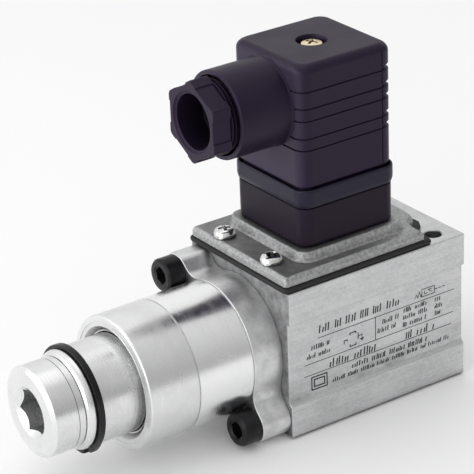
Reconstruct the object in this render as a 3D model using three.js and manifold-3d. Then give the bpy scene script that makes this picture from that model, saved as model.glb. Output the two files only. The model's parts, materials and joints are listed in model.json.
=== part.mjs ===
// Piston-type hydraulic pressure switch with an adjusting spindle and a
// square-flanged cable plug. Millimetres, +Z up.
//
// The origin is the centre of the housing block's bottom face; +X runs from the
// adjusting spindle towards the pressure port. Pieces are written in the piston frame
// (x = 0 at the block's port face, y = z = 0 on the piston axis); their group is shifted.
import * as THREE from 'three';
import { mergeVertices } from 'three/addons/utils/BufferGeometryUtils.js';
import Module from 'manifold-3d';

const wasm = await Module();
wasm.setup();

// ---- shared dimensions ----
const OVER = 1; // overrun of cutting tools past a face, and overlap of joined parts
const BLOCK_END = -54;
const BLOCK_TOP = 19.1;
const BLOCK_BOTTOM = -19.9;
const SPRING_BORE_R = 11.5;
const LUG_Y = 15.1;
const LUG_Z = 14.9;
const FLANGE_X = -62.2;
const MICRO_SCREW = { x: -45.2, y: 4.75 };
const PLATE_SCREW = { x: -51.2, y: 9.6 };
const EARTH_SCREW = { x: -19.5, y: 8 };
const TERMINAL_X = -41.9;
const TERMINAL_PITCH = 7;
const GASKET_TOP = 20.6;
const PLATE_TOP = 23.1;
const COLLAR_TOP = 25.6;
const PLUG_X = -30.6; // vertical axis of the cable plug
const CONTACT_OFFSET = 8; // from the plug axis
const GLAND_Z = 59.7;

// ---- materials (metalness is 0 where it is not given) ----
const material = (settings) => new THREE.MeshStandardMaterial(settings);
const MATERIALS = {
  aluminium: material({ color: 0xc9cacb, roughness: 0.42, metalness: 0.9 }),
  turned: material({ color: 0xd8d9da, roughness: 0.28, metalness: 1 }),
  casting: material({ color: 0x8f9092, roughness: 0.62, metalness: 0.7 }),
  blackOxide: material({ color: 0x232326, roughness: 0.45, metalness: 0.8 }),
  zinc: material({ color: 0xd2d2d0, roughness: 0.25, metalness: 1 }),
  yellowZinc: material({ color: 0xb8924a, roughness: 0.35, metalness: 0.9 }),
  steel: material({ color: 0x9fa2a5, roughness: 0.35, metalness: 1 }),
  spring: material({ color: 0x4d4e52, roughness: 0.4, metalness: 0.9 }),
  plastic: material({ color: 0x2b2730, roughness: 0.5 }),
  rubber: material({ color: 0x1b1b1d, roughness: 0.8 }),
  seal: material({ color: 0x20222a, roughness: 0.6 }),
  insert: material({ color: 0x35343a, roughness: 0.55 }),
  brass: material({ color: 0xc2a15a, roughness: 0.35, metalness: 1 }),
  tin: material({ color: 0xc8c8c4, roughness: 0.3, metalness: 1 }),
  wire: material({ color: 0x303238, roughness: 0.6 }),
  earth: material({ color: 0x7f9a3a, roughness: 0.6 }),
};

// ---- solids and meshes ----
function solid(geometry) {
  for (const key of Object.keys(geometry.attributes)) {
    if (key !== 'position') geometry.deleteAttribute(key);
  }
  const merged = mergeVertices(geometry, 1e-4);
  const positions = merged.attributes.position.array;
  const indices = merged.index.array;
  const corner = (i) => new THREE.Vector3().fromArray(positions, 3 * indices[i]);
  let volume = 0;
  for (let i = 0; i < indices.length; i += 3) {
    volume += corner(i).dot(corner(i + 1).cross(corner(i + 2)));
  }
  // drop collapsed triangles; a negative volume means the faces point inwards
  const triangles = [];
  for (let i = 0; i < indices.length; i += 3) {
    const [a, b, c] = indices.slice(i, i + 3);
    if (a === b || b === c || a === c) continue;
    triangles.push(...(volume < 0 ? [b, a, c] : [a, b, c]));
  }
  return new wasm.Manifold(new wasm.Mesh({
    numProp: 3,
    vertProperties: new Float32Array(positions),
    triVerts: new Uint32Array(triangles),
  }));
}

const switchGroup = new THREE.Group();
switchGroup.position.set(-BLOCK_END / 2, 0, -BLOCK_BOTTOM);

function put(name, meshMaterial, manifold) {
  const { vertProperties, triVerts } = manifold.getMesh();
  const geometry = new THREE.BufferGeometry();
  geometry.setAttribute('position', new THREE.BufferAttribute(vertProperties, 3));
  geometry.setIndex(new THREE.BufferAttribute(triVerts, 1));
  geometry.computeVertexNormals();
  const mesh = new THREE.Mesh(geometry, meshMaterial);
  mesh.name = name;
  switchGroup.add(mesh);
}

const join = (...parts) => parts.reduce((a, b) => a.add(b));
const cut = (base, ...tools) => tools.reduce((a, b) => a.subtract(b), base);
const atBoth = (y, build) => [-y, y].map(build);

// ---- outlines ----
function polar(radius, degrees) {
  const angle = THREE.MathUtils.degToRad(degrees);
  return [radius * Math.cos(angle), radius * Math.sin(angle)];
}
const vectors = (points) => points.map(([u, v]) => new THREE.Vector2(u, v));
// a half outline followed back by its mirror image
const mirrored = (half, signU, signV) =>
  [...half, ...half.slice().reverse().map(([u, v]) => [signU * u, signV * v])];

// ---- primitives ----
// x, y and z are [low, high]
const box = ({ x, y, z }) => solid(
  new THREE.BoxGeometry(x[1] - x[0], y[1] - y[0], z[1] - z[0])
    .translate((x[0] + x[1]) / 2, (y[0] + y[1]) / 2, (z[0] + z[1]) / 2));
const boxAt = (x, y, halfX, halfY, z0, z1) =>
  box({ x: [x - halfX, x + halfX], y: [y - halfY, y + halfY], z: [z0, z1] });
const cylinderX = (radius, x0, x1, sides, y = 0, z = 0) => solid(
  new THREE.CylinderGeometry(radius, radius, x1 - x0, sides)
    .rotateZ(-Math.PI / 2).translate((x0 + x1) / 2, y, z));
const cylinderZ = (radius, z0, z1, sides, x = PLUG_X, y = 0) => solid(
  new THREE.CylinderGeometry(radius, radius, z1 - z0, sides)
    .rotateX(Math.PI / 2).translate(x, y, (z0 + z1) / 2));
// revolved profiles: rows are [radius, x] or [radius, z]
const latheX = (profile, sides, y = 0, z = 0) => solid(
  new THREE.LatheGeometry(vectors(profile), sides).rotateZ(-Math.PI / 2).translate(0, y, z));
const latheZ = (profile, sides, x, y) => solid(
  new THREE.LatheGeometry(vectors(profile), sides).rotateX(Math.PI / 2).translate(x, y, 0));

const extrusion = (points, options) =>
  new THREE.ExtrudeGeometry(new THREE.Shape(vectors(points)), { bevelEnabled: false, ...options });
// outline rows are [y, z]
function extrudeX(points, x0, x1) {
  const [x, y, z] = [[1, 0, 0], [0, 1, 0], [0, 0, 1]].map((axis) => new THREE.Vector3(...axis));
  return solid(extrusion(points, { depth: x1 - x0 })
    .applyMatrix4(new THREE.Matrix4().makeBasis(y, z, x)).translate(x0, 0, 0));
}
// outline rows are [x, y]
const extrudeZ = (points, z0, z1) =>
  solid(extrusion(points, { depth: z1 - z0 }).translate(0, 0, z0));

// rounded square prism on the plug axis
function squareZ(width, cornerRadius, z0, z1) {
  const inset = width / 2 - cornerRadius;
  const steps = 5;
  const points = [];
  for (const [signX, signY, start] of [[1, 1, 0], [-1, 1, 90], [-1, -1, 180], [1, -1, 270]]) {
    for (let i = 0; i <= steps; i++) {
      const [x, y] = polar(cornerRadius, start + 90 * i / steps);
      points.push([PLUG_X + signX * inset + x, signY * inset + y]);
    }
  }
  return extrudeZ(points, z0, z1);
}
function hexX(acrossFlats, x0, x1, turn, y = 0, z = 0) {
  const corners = [0, 60, 120, 180, 240, 300].map((angle) => {
    const [u, v] = polar(acrossFlats / Math.sqrt(3), angle + turn);
    return [y + u, z + v];
  });
  return extrudeX(corners, x0, x1);
}
// open ring across X; angles in degrees from +Y towards +Z
function openRingX({ inner, outer, x0, x1, gapCentre, gap, steps }) {
  const arc = (radius) => Array.from({ length: steps + 1 }, (_, i) =>
    polar(radius, gapCentre + gap / 2 + (360 - gap) * i / steps));
  return extrudeX([...arc(outer), ...arc(inner).reverse()], x0, x1);
}
// six-sided bar along a curve
function sweep(extrudePath, radius, steps) {
  const section = [0, 60, 120, 180, 240, 300].map((angle) => polar(radius, angle));
  return solid(extrusion(section, { steps, extrudePath }));
}
// upright screw with a slot along X across its head, or two crossed slots
function screwZ(profile, sides, x, y, { halfLength, halfWidth, bottom, crossed = false }) {
  const top = profile.at(-1)[1] + OVER;
  const slots = [boxAt(x, y, halfLength, halfWidth, bottom, top)];
  if (crossed) slots.push(boxAt(x, y, halfWidth, halfLength, bottom, top));
  return cut(latheZ(profile, sides, x, y), ...slots);
}

// ---- housing block ----
const BLOCK_HALF_W = 20.2;
const RECESS_HALF_W = BLOCK_HALF_W - 0.9;
const RECESS_TOP = 10.6;
const RECESS_LOW = -10.4;
const RECESS_SLOPE = 0.8;
const SPRING_BORE_END = -33.2;
const SLEEVE_BORE_END = -13;
const PORT_R = 5.9;
const PORT_END = -12;
const PORT_CHAMFER = [[0, -1.2], [PORT_R - 0.1, -1.2], [7.4, 0.2], [0, 0.2]];
const CAVITY_FLOOR = 12.9; // of the microswitch cavity
const HOLE_TOP = 13.5; // tool top for holes in the cavity floor
// +Y half of the section with its side recess, rows [y, z]
const BLOCK_HALF = [
  [BLOCK_HALF_W, BLOCK_BOTTOM], [BLOCK_HALF_W, RECESS_LOW - RECESS_SLOPE],
  [RECESS_HALF_W, RECESS_LOW], [RECESS_HALF_W, RECESS_TOP],
  [BLOCK_HALF_W, RECESS_TOP], [BLOCK_HALF_W, BLOCK_TOP],
];
put('housing_block', MATERIALS.aluminium, cut(
  extrudeX(mirrored(BLOCK_HALF, -1, 1), BLOCK_END, 0),
  cylinderX(SPRING_BORE_R, BLOCK_END - OVER, SPRING_BORE_END, 32),
  cylinderX(9, SPRING_BORE_END - OVER, SLEEVE_BORE_END, 40), // sleeve bore
  cylinderX(9.8, -32.6, -31.05, 40), // retaining ring groove
  cylinderX(4, SLEEVE_BORE_END - OVER, PORT_END + OVER, 32), // passage to the port
  cylinderX(PORT_R, PORT_END, OVER, 32),
  latheX(PORT_CHAMFER, 32),
  // flange screw holes
  ...[1, -1].map((side) =>
    cylinderX(2.55, BLOCK_END - OVER, -45.5, 20, side * LUG_Y, side * LUG_Z)),
  box({ x: [-48.2, -14], y: [-11.4, 11.4], z: [CAVITY_FLOOR, BLOCK_TOP + OVER] }),
  box({ x: [-38.6, -33.4], y: [-2.4, 2.4], z: [9, 14] }), // slot for the actuator arm
  ...atBoth(MICRO_SCREW.y, (y) => cylinderZ(1, 10.9, HOLE_TOP, 12, MICRO_SCREW.x, y)),
  cylinderZ(1.5, 8.5, HOLE_TOP, 14, EARTH_SCREW.x, EARTH_SCREW.y),
  // two holes in the top at the port end
  ...atBoth(15.5, (y) => cylinderZ(2.1, 7, BLOCK_TOP + OVER, 20, -6.3, y)),
  ...atBoth(PLATE_SCREW.y, (y) => cylinderZ(1.55, 13.5, BLOCK_TOP + OVER, 16, PLATE_SCREW.x, y))));

// ---- spring housing: turned tube with a diagonal two-lug flange ----
const TUBE_X = -91.4;
const TUBE_STEP_X = -77.7;
const FLANGE_R = 17.1;
const TUBE_REAR_R = 16.9; // between the flange and the step
const TUBE_FRONT_R = 16.75; // from the step to the open end
const THREAD_BORE_R = 12.5;
const THREAD_BORE_END = -65.5;
const LUG_R = 4.65;
const LUG_DISTANCE = Math.hypot(LUG_Y, LUG_Z);
const WEB_HALF_W = 7.2;
const TUBE_PROFILE = [
  [SPRING_BORE_R, BLOCK_END], [FLANGE_R, BLOCK_END], [FLANGE_R, FLANGE_X],
  [TUBE_REAR_R, FLANGE_X], [TUBE_REAR_R, TUBE_STEP_X], [TUBE_FRONT_R, TUBE_STEP_X],
  [TUBE_FRONT_R, TUBE_X + 0.6], [16.15, TUBE_X], [14, TUBE_X], [12.75, TUBE_X + 1.3],
  [THREAD_BORE_R, TUBE_X + 1.3], [THREAD_BORE_R, THREAD_BORE_END],
  [SPRING_BORE_R, THREAD_BORE_END], [SPRING_BORE_R, BLOCK_END],
];
// half outline of the web out to a lug, rows [distance from the axis, half width]
const WEB_HALF = [[13, WEB_HALF_W], [16.2, WEB_HALF_W], [18.4, LUG_R], [LUG_DISTANCE, LUG_R]];

// side is 1 for the upper lug, -1 for the lower
function flangeLug(side) {
  const [y, z] = [side * LUG_Y, side * LUG_Z];
  const [unitY, unitZ] = [y / LUG_DISTANCE, z / LUG_DISTANCE];
  const web = mirrored(WEB_HALF, 1, -1).map(([along, across]) =>
    [along * unitY - across * unitZ, along * unitZ + across * unitY]);
  return cut(
    join(extrudeX(web, FLANGE_X, BLOCK_END), cylinderX(LUG_R, FLANGE_X, BLOCK_END, 24, y, z)),
    cylinderX(12.6, FLANGE_X - OVER, BLOCK_END + OVER, 24), // keeps the bore clear
    cylinderX(2.75, FLANGE_X - OVER, BLOCK_END + OVER, 20, y, z));
}
put('spring_housing', MATERIALS.turned, cut(
  join(latheX(TUBE_PROFILE, 40), flangeLug(1), flangeLug(-1)),
  // the upper lug is cut flat under the connector gasket
  box({ x: [FLANGE_X - OVER, BLOCK_END + OVER], y: [-30, 30], z: [BLOCK_TOP - 0.1, 30] })));

// ---- socket head cap screws through the lugs ----
const CAP_X = FLANGE_X - 4.9;
const CAP_R = 4.25;
const SHANK_R = 2.45;
const SHANK_END = -46;
const CAP_SCREW_PROFILE = [
  [0, CAP_X], [3.8, CAP_X], [CAP_R, CAP_X + 0.45], [CAP_R, FLANGE_X], [SHANK_R, FLANGE_X],
  [SHANK_R, SHANK_END - 0.5], [2, SHANK_END], [0, SHANK_END],
];
for (const [name, side] of [['flange_screw_upper', 1], ['flange_screw_lower', -1]]) {
  const [y, z] = [side * LUG_Y, side * LUG_Z];
  put(name, MATERIALS.blackOxide, cut(
    latheX(CAP_SCREW_PROFILE, 24, y, z),
    hexX(4, CAP_X - OVER, CAP_X + 2.6, 30, y, z)));
}

// ---- adjusting spindle and snap ring ----
const SPINDLE_R = 12.3;
const SPINDLE_HEAD_R = 11.25;
const SPINDLE_FACE = -114.3;
const SPINDLE_IN = -76;
const SNAP_X0 = -103.4;
const SNAP_X1 = -101.8;
const SNAP_GROOVE_R = 11.6;
const SNAP_GAP = 0.2; // groove clearance either side of the ring
const SPINDLE_PROFILE = [
  [0, SPINDLE_FACE], [10.1, SPINDLE_FACE], [SPINDLE_HEAD_R, SPINDLE_FACE + 0.6],
  [SPINDLE_HEAD_R, -106], [SPINDLE_R, -105.2], [SPINDLE_R, SNAP_X0 - SNAP_GAP],
  [SNAP_GROOVE_R, SNAP_X0 - SNAP_GAP], [SNAP_GROOVE_R, SNAP_X1 + SNAP_GAP],
  [SPINDLE_R, SNAP_X1 + SNAP_GAP], [SPINDLE_R, SPINDLE_IN - 0.6],
  [11.7, SPINDLE_IN], [0, SPINDLE_IN],
];
const SPINDLE_COUNTERSINK = [
  [0, SPINDLE_FACE - 0.4], [6.8, SPINDLE_FACE - 0.4],
  [4.9, SPINDLE_FACE + 1.5], [0, SPINDLE_FACE + 1.5],
];
put('adjusting_spindle', MATERIALS.turned, cut(
  latheX(SPINDLE_PROFILE, 40),
  latheX(SPINDLE_COUNTERSINK, 32),
  hexX(10, SPINDLE_FACE - OVER, SPINDLE_FACE + 11, -10)));
put('snap_ring', MATERIALS.blackOxide, openRingX({
  inner: 11.75, outer: 13.2, x0: SNAP_X0, x1: SNAP_X1, gapCentre: -117.5, gap: 11, steps: 32,
}));

// ---- compression spring, its plates and the actuator arm ----
const SEAT_R = 10.9;
const BOSS_R = 6.1;
put('spring_plate_front', MATERIALS.steel, latheX([
  [0, -75.95], [SEAT_R, -75.95], [SEAT_R, -73.2], [BOSS_R, -73.2], [BOSS_R - 0.5, -70], [0, -70],
], 24));

const SPRING = {
  start: -71.62, rise: 32.6, meanRadius: 8.05, wireRadius: 1.5, turns: 6,
  endRise: 1.2, endShare: 0.08, // rise and curve share of each closed end coil
};
class SpringHelix extends THREE.Curve {
  getPoint(t, target = new THREE.Vector3()) {
    const { start, rise, meanRadius, turns, endRise, endShare } = SPRING;
    const ramp = (from, to) => THREE.MathUtils.clamp((t - from) / (to - from), 0, 1);
    const x = start + endRise * (ramp(0, endShare) + ramp(1 - endShare, 1))
      + (rise - 2 * endRise) * ramp(endShare, 1 - endShare);
    const angle = 2 * Math.PI * turns * t;
    return target.set(x, meanRadius * Math.cos(angle), meanRadius * Math.sin(angle));
  }
}
put('compression_spring', MATERIALS.spring, sweep(new SpringHelix(), SPRING.wireRadius, 78));

const armBox = (gap) =>
  box({ x: [-36.7 - gap, -35.2 + gap], y: [-1.7 - gap, 1.7 + gap], z: [7.5 - gap, 18 + gap] });
put('spring_plate_rear', MATERIALS.steel, cut(latheX([
  [0, -40.6], [BOSS_R - 0.5, -40.6], [BOSS_R, -37.4], [SEAT_R, -37.4], [SEAT_R, -34.4], [0, -34.4],
], 24), armBox(0.05)));
put('actuator_arm', MATERIALS.steel, armBox(0));

// ---- piston, sleeve and seals ----
const PISTON_R = 3;
const SLEEVE_R = 8.95;
const SLEEVE_INNER_R = 3.04;
put('piston', MATERIALS.steel, latheX([
  [0, -34.35], [2.6, -34.35], [PISTON_R, -33.9], [PISTON_R, -13.5], [2.7, -13.2], [0, -13.2],
], 24));
// with a ring groove outside and a seal pocket at the port end
put('piston_sleeve', MATERIALS.steel, latheX([
  [SLEEVE_INNER_R, -31], [8.5, -31], [SLEEVE_R, -30.5], [SLEEVE_R, -22.4], [7.4, -22.4],
  [7.4, -19.6], [SLEEVE_R, -19.6], [SLEEVE_R, -13.05], [5.05, -13.05], [5.05, -15.9],
  [SLEEVE_INNER_R, -15.9], [SLEEVE_INNER_R, -31],
], 24));
put('sleeve_oring', MATERIALS.rubber, solid(
  new THREE.TorusGeometry(8.19, 0.72, 6, 24).rotateY(Math.PI / 2).translate(-21, 0, 0)));
put('piston_seal', MATERIALS.seal, latheX([
  [3.05, -15.8], [4.95, -15.8], [4.95, -13.3], [3.05, -13.3], [3.05, -15.8],
], 24));
put('retaining_ring', MATERIALS.blackOxide, openRingX({
  inner: 6.4, outer: 9.7, x0: -32.5, x1: -31.1, gapCentre: 90, gap: 40, steps: 20,
}));

// ---- microswitch ----
const BUTTON_Z = 15.6;
put('microswitch_case', MATERIALS.insert, cut(
  box({ x: [-47.8, -38.9], y: [-9.9, 9.9], z: [12.95, 18.95] }),
  cylinderX(0.95, -42.5, -38, 16, 0, BUTTON_Z),
  ...atBoth(MICRO_SCREW.y, (y) => cylinderZ(1.1, 12, 20, 16, MICRO_SCREW.x, y)),
  ...atBoth(MICRO_SCREW.y, (y) => cylinderZ(2.05, 17, 20, 20, MICRO_SCREW.x, y))));
put('microswitch_button', MATERIALS.insert, latheX([
  [0, -41.2], [0.9, -41.2], [0.9, -37.1], [0.6, -36.75], [0, -36.75],
], 16, 0, BUTTON_Z));
['common', 'nc', 'no'].forEach((name, i) =>
  put(`microswitch_terminal_${name}`, MATERIALS.brass,
    boxAt(TERMINAL_X, (i - 1) * TERMINAL_PITCH, 0.3, 1.2, 18.97, 23.5)));
const MICRO_SCREW_PROFILE = [
  [0, 11], [0.9, 11], [0.9, 17.05], [1.9, 17.05], [1.9, 18.2], [1.5, 18.6], [0, 18.6],
];
for (const [end, side] of [['front', -1], ['rear', 1]]) {
  put(`microswitch_screw_${end}`, MATERIALS.zinc, screwZ(
    MICRO_SCREW_PROFILE, 12, MICRO_SCREW.x, side * MICRO_SCREW.y,
    { halfLength: 2, halfWidth: 0.25, bottom: 18 }));
}

// ---- connector plate, gasket and screws ----
// -Y half outlines, rows [x, y] from the spindle end; the port end is notched
// round the two holes in the block
const PLATE_HALF = [
  [-54.4, -19.6], [-12.1, -19.4], [-12.25, -16.8], [-11.75, -13.7],
  [-10.9, -12.1], [-9.1, -11.2], [-8.1, -9.7], [-7.6, -6.5],
];
const GASKET_HALF = [
  [-54.8, -20], [-10.2, -19.9], [-9.7, -18.4], [-9.35, -16.6], [-9.3, -14.6],
  [-8.4, -13], [-6.9, -11.6], [-5.7, -9.7], [-5.85, -7.8], [-6.8, -6],
];
const plateHoles = (radius, z0, z1) =>
  atBoth(PLATE_SCREW.y, (y) => cylinderZ(radius, z0 - OVER, z1 + OVER, 18, PLATE_SCREW.x, y));
put('connector_gasket', MATERIALS.rubber, cut(
  extrudeZ(mirrored(GASKET_HALF, 1, -1), BLOCK_TOP, GASKET_TOP),
  box({ x: [-43, -18.2], y: [-12.4, 12.4], z: [BLOCK_TOP - OVER, GASKET_TOP + OVER] }),
  ...plateHoles(1.8, BLOCK_TOP, GASKET_TOP)));
put('connector_plate', MATERIALS.casting, cut(
  join(
    extrudeZ(mirrored(PLATE_HALF, 1, -1), GASKET_TOP, PLATE_TOP),
    squareZ(30.8, 3.2, GASKET_TOP + OVER, COLLAR_TOP)),
  boxAt(PLUG_X, 0, 12, 12, GASKET_TOP - OVER, COLLAR_TOP + OVER),
  ...plateHoles(1.7, GASKET_TOP, COLLAR_TOP)));
const PLATE_SCREW_PROFILE = [
  [0, 14], [1.2, 14], [1.5, 14.4], [1.5, PLATE_TOP], [2.75, PLATE_TOP],
  [2.75, 24.3], [2.2, 25], [1.2, 25.25], [0, 25.25],
];
for (const [end, side] of [['front', -1], ['rear', 1]]) {
  put(`plate_screw_${end}`, MATERIALS.zinc, screwZ(
    PLATE_SCREW_PROFILE, 16, PLATE_SCREW.x, side * PLATE_SCREW.y,
    { halfLength: 1.5, halfWidth: 0.35, bottom: 24.1, crossed: true }));
}

// ---- connector base with blade contacts ----
const BASE_TOP = 35.9;
const UPSTAND_TOP = 45;
const BAND_TOP = 40.6;
// pin, clamp screw, x and y from the plug axis, half sizes in x and y
const CONTACTS = [
  ['contact_pin_1', 'clamp_screw_1', -CONTACT_OFFSET, 0, 0.4, 3.15],
  ['contact_pin_2', 'clamp_screw_2', CONTACT_OFFSET, 0, 0.4, 3.15],
  ['contact_pin_3', 'clamp_screw_3', 0, -CONTACT_OFFSET, 3.15, 0.4],
  ['earth_pin', 'clamp_screw_earth', 0, CONTACT_OFFSET, 3.15, 0.4],
];
const pinBoxes = (z0, z1, gap) => CONTACTS.map(([, , x, y, halfX, halfY]) =>
  boxAt(PLUG_X + x, y, halfX + gap, halfY + gap, z0, z1));
put('connector_base', MATERIALS.plastic, cut(
  join(
    squareZ(28.2, 3.3, COLLAR_TOP + 0.02, BASE_TOP),
    squareZ(21.5, 1.5, BASE_TOP - OVER, UPSTAND_TOP)),
  squareZ(21, 1.5, COLLAR_TOP - OVER, 33.5), // hollow underside
  cylinderZ(1.55, 38.5, UPSTAND_TOP + OVER, 16),
  ...pinBoxes(30, 50, 0.02)));
pinBoxes(31, 54, 0).forEach((pin, i) => put(CONTACTS[i][0], MATERIALS.tin, pin));
put('profile_gasket', MATERIALS.seal, cut(
  squareZ(28.9, 3.6, BASE_TOP, BAND_TOP),
  squareZ(21.8, 1.6, BASE_TOP - OVER, BAND_TOP + OVER),
  squareZ(27.9, 3.3, 38.4, BAND_TOP + OVER))); // seat for the hood

// ---- cable socket ----
const HOOD_BOTTOM = 38.5;
const HOOD_TOP = 71.6;
const GLAND_FACE = -58.8;
put('connector_hood', MATERIALS.plastic, cut(
  join(
    squareZ(27.6, 3.2, HOOD_BOTTOM, HOOD_TOP),
    cylinderX(10.9, GLAND_FACE, PLUG_X - 10, 36, 0, GLAND_Z)),
  squareZ(23.6, 1.6, HOOD_BOTTOM - OVER, 67.6),
  cylinderX(8.5, GLAND_FACE - OVER, PLUG_X - 5, 36, 0, GLAND_Z),
  cylinderZ(3.6, 69.2, HOOD_TOP + OVER, 24), // fixing screw head recess
  cylinderZ(1.7, 66, 70, 16)));
put('terminal_insert', MATERIALS.insert, cut(
  squareZ(22.8, 1.5, 45.6, 56),
  cylinderZ(1.8, 45, 57, 16),
  ...pinBoxes(44, 54.6, 0.25)));
const CLAMP_PROFILE = [[0, 56.02], [1.9, 56.02], [1.9, 57.4], [1.6, 57.8], [0, 57.8]];
for (const [, name, x, y] of CONTACTS) {
  put(name, MATERIALS.zinc, screwZ(CLAMP_PROFILE, 12, PLUG_X + x, y,
    { halfLength: 2.2, halfWidth: 0.3, bottom: 57.1 }));
}
put('fixing_screw', MATERIALS.yellowZinc, screwZ([
  [0, 39], [1.1, 39], [1.45, 39.4], [1.45, 69.25], [3, 69.25], [3, 70.5], [2.4, 71], [0, 71.2],
], 16, PLUG_X, 0, { halfLength: 2, halfWidth: 0.4, bottom: 70.2, crossed: true }));

// ---- cable gland ----
const NUT_X0 = -65.8;
const NUT_X1 = -60.6;
put('gland_nut', MATERIALS.plastic, cut(
  join(
    hexX(18.2, NUT_X0, NUT_X1, 30, 0, GLAND_Z),
    cylinderX(8.3, NUT_X1 - OVER, -52.3, 32, 0, GLAND_Z)),
  cylinderX(6.5, NUT_X0 - OVER, -52, 32, 0, GLAND_Z)));
const glandRing = (outer, inner, x0, x1) => cut(
  cylinderX(outer, x0, x1, 28, 0, GLAND_Z),
  cylinderX(inner, x0 - OVER, x1 + OVER, 24, 0, GLAND_Z));
put('gland_washer', MATERIALS.steel, glandRing(8.2, 5.5, -52.2, -51.7));
put('gland_grommet', MATERIALS.rubber, glandRing(8.3, 4.5, -50.9, -46));

// ---- internal leads and earth screw ----
const LEAD_LOW = 24.3;
const LEAD_TOP = 30.1;
// name, material, centreline points [x, y, z] up to the contact
const LEADS = [
  ['switch_lead_common', MATERIALS.wire, [
    [TERMINAL_X, -TERMINAL_PITCH, LEAD_LOW], [-39, -7.1, 25.2], [-34.5, -7.6, 27],
    [PLUG_X, -CONTACT_OFFSET, LEAD_TOP]]],
  ['switch_lead_nc', MATERIALS.wire, [
    [TERMINAL_X, 0, LEAD_LOW], [-39.8, 0, 25.2], [-38.75, 0, 27.4],
    [PLUG_X - CONTACT_OFFSET, 0, LEAD_TOP]]],
  ['switch_lead_no', MATERIALS.wire, [
    [TERMINAL_X, TERMINAL_PITCH, LEAD_LOW], [-38.9, 6.6, 25.3], [-28, 3.2, 26.8],
    [PLUG_X + CONTACT_OFFSET, 0, LEAD_TOP]]],
  ['earth_lead', MATERIALS.earth, [
    [-23.3, 8, 14.1], [-25.4, 8, 17], [-28.6, 8, 24], [PLUG_X, CONTACT_OFFSET, LEAD_TOP]]],
];
for (const [name, leadMaterial, points] of LEADS) {
  const path = new THREE.CatmullRomCurve3(points.map((point) => new THREE.Vector3(...point)));
  put(name, leadMaterial, sweep(path, 0.75, 8));
}
put('earth_screw', MATERIALS.zinc, screwZ([
  [0, 9.2], [1.4, 9.2], [1.4, 12.95], [2.6, 12.95], [2.6, 14.2], [2.1, 14.8], [0, 14.8],
], 18, EARTH_SCREW.x, EARTH_SCREW.y, { halfLength: 3, halfWidth: 0.4, bottom: 14.1 }));

const pressureSwitch = new THREE.Group();
pressureSwitch.add(switchGroup);
export default pressureSwitch;
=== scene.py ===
# A spring-loaded piston switch. The aluminium block lies along X, the spring housing and its
# adjusting spindle reach out towards -X, and a square plug with a cable gland stands on top.
import bpy
import bmesh
import json
import math
import random
import numpy as np
from mathutils import Matrix, Vector


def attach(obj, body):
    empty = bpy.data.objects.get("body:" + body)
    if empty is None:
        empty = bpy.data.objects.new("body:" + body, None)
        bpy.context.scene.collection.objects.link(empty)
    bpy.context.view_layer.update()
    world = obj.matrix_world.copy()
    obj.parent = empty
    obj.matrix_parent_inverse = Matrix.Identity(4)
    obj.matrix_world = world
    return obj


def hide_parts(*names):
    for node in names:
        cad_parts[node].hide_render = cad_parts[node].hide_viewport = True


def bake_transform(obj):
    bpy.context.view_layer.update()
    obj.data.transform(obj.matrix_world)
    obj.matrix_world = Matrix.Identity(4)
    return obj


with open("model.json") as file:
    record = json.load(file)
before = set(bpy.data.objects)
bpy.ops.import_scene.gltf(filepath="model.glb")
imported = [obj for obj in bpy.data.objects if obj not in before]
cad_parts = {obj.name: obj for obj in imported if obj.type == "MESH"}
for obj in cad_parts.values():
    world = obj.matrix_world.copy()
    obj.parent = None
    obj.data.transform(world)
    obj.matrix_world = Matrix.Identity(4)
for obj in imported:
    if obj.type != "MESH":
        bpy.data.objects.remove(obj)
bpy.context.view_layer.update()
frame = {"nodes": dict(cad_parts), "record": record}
COLLECTION = bpy.context.scene.collection

# ---------------------------------------------------------------- shared places (mm)
AXIS_X, AXIS_Z = 27.0, 19.9        # piston-axis origin in the row frame
AXIS_Z_M = AXIS_Z / 1000           # the same height in metres
SIDES = (1, -1)
BLOCK_END = -54                    # -X end face of the block
BLOCK_HALF, RECESS_HALF = 20.2, 19.3    # half width of the block, and at its recessed sides
FLANGE_SCREW = (15.1, 14.9)        # (y, z); the second screw lies diagonally opposite
PLATE_SCREW = (-51.2, 9.6)         # (x, y); the second one is mirrored in y
PLUG_X = -30.6                     # plug centre along the piston axis
PIN_OFFSET = 8                     # contact pins from the plug centre
PIN_HALF_THICK, PIN_HALF_WIDE = 0.4, 3.15
GLAND_Z = 59.7
GLAND = (0, GLAND_Z)               # (y, z) of the gland's axis
HOOD_WIDTH, HOOD_CORNER = 27.6, 3.2
HOOD_GROOVES = (50.5, 53.45, 57.9, 60.95, 65.2)     # z

# pin, its clamp screw, offset x and y, half sizes x and y
PINS = [
    ("contact_pin_1", "clamp_screw_1", -PIN_OFFSET, 0, PIN_HALF_THICK, PIN_HALF_WIDE),
    ("contact_pin_2", "clamp_screw_2", PIN_OFFSET, 0, PIN_HALF_THICK, PIN_HALF_WIDE),
    ("contact_pin_3", "clamp_screw_3", 0, -PIN_OFFSET, PIN_HALF_WIDE, PIN_HALF_THICK),
    ("earth_pin", "clamp_screw_earth", 0, PIN_OFFSET, PIN_HALF_WIDE, PIN_HALF_THICK),
]


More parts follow.
